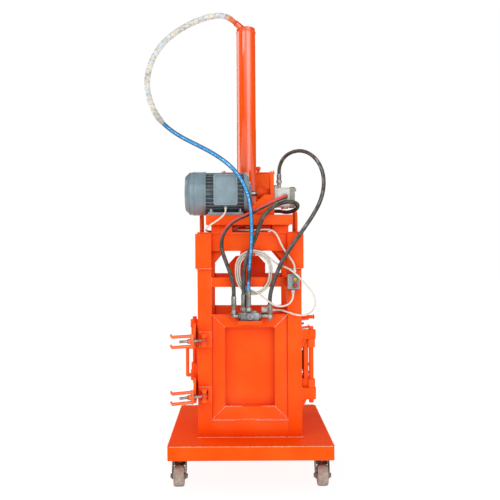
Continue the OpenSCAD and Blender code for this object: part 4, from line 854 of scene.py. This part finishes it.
# Weld lines: the platform's edge, the panels' feet and ribs, the latch brackets, the upper beams, the corner sleeves
def frameSeams():
    seams = [[(-388, -409.5, 207), (388, -409.5, 207)], [(-388, 409.5, 207), (388, 409.5, 207)],
             [(-399.5, -396, 207), (-399.5, 396, 207)], [(399.5, -396, 207), (399.5, 396, 207)]]
    seams += mirrored([[(-260, -260.5, 209), (260, -260.5, 209)], [(-190, -252.5, 296.5), (190, -252.5, 296.5)],
                       [(-190, -260.5, 294.5), (-80, -260.5, 294.5)], [(30, -260.5, 294.5), (190, -260.5, 294.5)],
                       [(-190, -252.2, 297), (-125, -252.2, 361)], [(190, -252.2, 297), (125, -252.2, 361)],
                       [(-190, -252.2, 822), (-125, -252.2, 758)], [(190, -252.2, 822), (125, -252.2, 758)],
                       [(-124, -249, 361.5), (-40, -249, 361.5)], [(60, -249, 361.5), (124, -249, 361.5)]])
    for z in (700, 425):
        seams += mirrored([[(-255, -261, z - 37), (-193, -261, z - 37)], [(-255, -261, z + 37), (-193, -261, z + 37)],
                           [(-193, -261, z - 37), (-193, -261, z + 37)]])
    seams += mirrored([[(-110, -255.5, 1227.5), (150, -255.5, 1227.5)],
                       [(-260, -270.5, 1052), (-190, -270.5, 1052)], [(190, -270.5, 1052), (260, -270.5, 1052)],
                       [(-192, -255.2, 1142), (-192, -255.2, 1224)], [(192, -255.2, 1142), (192, -255.2, 1224)],
                       [(-190, -255.2, 962), (-190, -255.2, 1006)], [(190, -255.2, 962), (190, -255.2, 1006)]])
    for low, high in ((396, 454), (698, 743)):
        seams += mirrored([[(-261, 218, z), (-261, 262, z)] for z in (low + 1, high - 1)])
        seams += mirrored([[(-261, 219.5, low), (-261, 219.5, high)]])
    return seams


# The beads take the paler seam paint, a painted highlight
grow("frameSeams", frameSeams(), beadTree, bodyOf["frame_beams"], "orange_paint", "seam_highlight_paint",
     Spacing=0.0052, Size=0.0029, Jitter=0.0005, Seed=11)


def around(x, y, z, r, count=28):
    turned = [wholeTurn * i / count for i in range(count + 1)]
    return [(x + r * math.cos(t), y + r * math.sin(t), z) for t in turned]


grow("barrelSeams", [around(-8, 0, 1258.5, 51.5), around(-8, 0, 2307, 51.6)], beadTree, bodyOf["cylinder_barrel"],
     "orange_paint", Spacing=0.004, Size=0.0009, Seed=5)


def along(start, direction, low, high):
    return [tuple(start[i] + direction[i] * d for i in range(3)) for d in (low, high)]


# Tapered strain reliefs where the leads leave their housings
reliefLook = dict(root=8.4, tip=5.5, length=22, ribs=4)


def strainRelief(name, at, way, body, scale=1.0):
    look = reliefLook
    profile = [(0, -2), (look["root"], -2), (look["root"], 3)]
    for k in range(look["ribs"]):
        low, share = 3 + (look["length"] - 3) * k / look["ribs"], k / look["ribs"]
        r = look["root"] + (look["tip"] - look["root"]) * share
        profile += [(r - 0.2, low + 0.4), (r - 1.0, low + 1.4), (r - 1.1, low + 2.6), (r - 0.5, low + 3.6)]
    profile += [(look["tip"], look["length"] - 0.6), (look["tip"] - 0.6, look["length"]), (0, look["length"])]
    work = bmesh.new()
    lathe(work, [(r * scale, h * scale) for r, h in profile], at, way, 32)
    addPiece(name, meshFrom(work, name), bodyOf[body], "white_cable", angle=50)


strainRelief("boxReliefTop", (222, -300, 1036), (0, 0, 1), "switch_box")
strainRelief("boxReliefLow", (214, -300, 943), (0, 0, -1), "switch_box")
strainRelief("motorRelief", (-116.5, -318, 1356), (0, 0, -1), "terminal_box", scale=0.75)
strainRelief("plugRelief", (114, -228, 841.3), (1, 0, 0), "mains_plug")

# Webs of the stamped caster forks, along the rear edges of their legs
webLook = dict(half=29, top=(29, 121), foot=(11, 89), thick=3, swivel=(348, 319))
for corner, sx, sy in (("fl", -1, -1), ("fr", 1, -1), ("rl", -1, 1), ("rr", 1, 1)):
    web = bmesh.new()
    bmesh.ops.create_cube(web, size=1)
    for vert in web.verts:
        y, z = webLook["top"] if vert.co.z > 0 else webLook["foot"]
        vert.co = Vector((sx * webLook["swivel"][0] + 2 * webLook["half"] * vert.co.x,
                          sy * webLook["swivel"][1] + y - webLook["thick"] * (vert.co.y + 0.5), z)) / 1000
    addPiece("forkWeb." + corner, meshFrom(web, "forkWeb"), bodyOf["caster_fork_" + corner], "fork_steel")

# Threads of the swing bolts on both sides of their hand nuts
threadLook = dict(left=(22, 1), right=(36, -1), upper=700, lower=425, near=(20, 57), far=(85, 126))
for side in ("left", "right"):
    for place in ("upper", "lower"):
        node, (turn, sign) = f"latch_bolt_{side}_{place}", threadLook[side]
        a = math.radians(turn)
        pin = (-227 * sign, -300 * sign, threadLook[place])
        way = (-math.cos(a) * sign, -math.sin(a) * sign, 0)
        grow("thread." + node, [along(pin, way, *threadLook[part]) for part in ("near", "far")], ringTree,
             bodyOf[node], "zinc_steel", Spacing=0.002, Radius=0.0063, Wire=0.0007)

# Crimped rings of the hose ends
crimps = [((-6, -299, 0), (0, 0, 1), 876, 934), ((-30, -284, 0), (0, 0, 1), 876, 919),
          ((-79, -286, 0), (0, 0, 1), 861, 909), ((100, -286, 0), (0, 0, 1), 837, 873),
          ((173, 112, 0), (0, 0, 1), 1530, 1556), ((182, 0, 1410), (0, 1, 0), -266, -250),
          ((-8, 0, 1350), (1, 0, 0), 75, 86), (tuple(topStart), tuple(topAlong), 76, 87)]
grow("crimpRings", [along(*c) for c in crimps], ringTree, bodyOf["hose_fittings"], "zinc_steel", Spacing=0.0055,
     Radius=0.0124, Wire=0.001, paint="ferrule_steel")

# Rolled beads of the fan cowl
cowlLook = dict(y=-190, z=1432, wire=0.0013, steps=96, beads=((-300, 107.2), (-276, 111), (-226, 111)))
for at, radius in cowlLook["beads"]:
    turned = [wholeTurn * k / cowlLook["steps"] for k in range(cowlLook["steps"] + 1)]
    circle = [Vector((at, cowlLook["y"] + radius * math.cos(t), cowlLook["z"] + radius * math.sin(t))) / 1000
              for t in turned]
    addPiece(f"cowlBead{-at}", tubeMesh("cowlBead", circle, cowlLook["wire"], 8), bodyOf["motor_cowl"], "motor_paint")
print("stage: repeats", flush=True)


# Soft studio light: the world is white to the camera, and in reflections a bright lobe behind the camera,
# dimmer below the horizon
stageLook = dict(white=1.0, sky=0.75, bright=(0.3, -0.954, 0.0), lobe=(0.6, 0.98, 0.05, 1.4),
                 horizon=(-0.12, 0.03, 0.3, 1.0), view="Standard")
scene.view_settings.view_transform = stageLook["view"]
world = bpy.data.worlds.new("studio")
scene.world = world
world.use_nodes = True
studio = world.node_tree
light = partial(addNode, studio)


def spread(value, low, high, a, b):
    return light("ShaderNodeMapRange", {"Value": value, "From Min": low, "From Max": high, "To Min": a,
                                        "To Max": b}).outputs["Result"]


rays = light("ShaderNodeLightPath").outputs
direction = light("ShaderNodeTexCoord").outputs["Generated"]
behind = light("ShaderNodeVectorMath", {0: direction, 1: stageLook["bright"]},
               operation="DOT_PRODUCT").outputs["Value"]
height = light("ShaderNodeSeparateXYZ", {0: direction}).outputs["Z"]
gloss = light("ShaderNodeMath", {0: spread(behind, *stageLook["lobe"]), 1: spread(height, *stageLook["horizon"])},
              operation="MULTIPLY").outputs[0]
level = light("ShaderNodeMix", {0: rays["Is Glossy Ray"], 2: stageLook["sky"], 3: gloss}).outputs[0]
level = light("ShaderNodeMix", {0: rays["Is Camera Ray"], 2: level, 3: stageLook["white"]}).outputs[0]
feed(studio, studio.nodes["Background"].inputs["Strength"], level)
feed(studio, studio.nodes["Background"].inputs["Color"], (1, 1, 1, 1))

# Pale floor: it glows evenly round the object, and less in reflections
floorLook = dict(lit="FFFFFF", patch="F2F2F0", share=0.09, size=14, glow=(0.4, 1.4, 0.92, 1.0), mirrored=0.5)
floorWork = bmesh.new()
bmesh.ops.create_grid(floorWork, x_segments=1, y_segments=1, size=floorLook["size"])
floor = addPiece("floor", meshFrom(floorWork, "floor"), None)
floorShade = Shader("paleFloor", Roughness=0.9, Specular_IOR_Level=0.1)
near = floorShade.vector("LENGTH", {0: floorShade.place}, "Value")
patch = floorShade.fit(floorShade.noise(0.6, 2), 0.3, 0.7, 0, 0.03)
tones = [col(floorLook[key], floorLook["share"]) for key in ("lit", "patch")]
floorShade.put("Base Color", floorShade.mix(patch, *tones))
floorShade.put("Emission Color", (1.0, 1.0, 1.0))
seen = floorShade.add("ShaderNodeLightPath").outputs["Is Glossy Ray"]
floorShade.put("Emission Strength", floorShade.times(floorShade.fit(near, *floorLook["glow"]),
                                                     floorShade.fit(seen, 0, 1, 1.0, floorLook["mirrored"])))
floor.data.materials.append(floorShade.mat)

# Soft lights: place, panel, power and what each one is aimed at
lightLook = dict(
    keyLight=dict(at=(-2.2, -3.6, 3.4), size=(2.2, 2.2), power=34, aim=(0, 0, 1.1)),
    fillLight=dict(at=(1.7, -3.2, 2.3), size=(2.5, 3.8), power=36, aim=(0, 0, 1.1)),
    backLight=dict(at=(0.6, 3.4, 3.2), size=(3, 1.6), power=20, aim=(0, 0, 1.1)),
    stripLight=dict(at=(-2.4, 0.9, 1.7), size=(1.8, 2.4), power=24, aim=(0, 0, 1.4)),
)
for name, look in lightLook.items():
    panel = bpy.data.lights.new(name, "AREA")
    panel.shape, panel.size, panel.size_y, panel.energy = "RECTANGLE", *look["size"], look["power"]
    lamp = bpy.data.objects.new(name, panel)
    scene.collection.objects.link(lamp)
    lamp.location = look["at"]
    lamp.rotation_euler = (Vector(look["aim"]) - Vector(look["at"])).to_track_quat("-Z", "Y").to_euler()
print("stage: light", flush=True)

print("stage: done", flush=True)
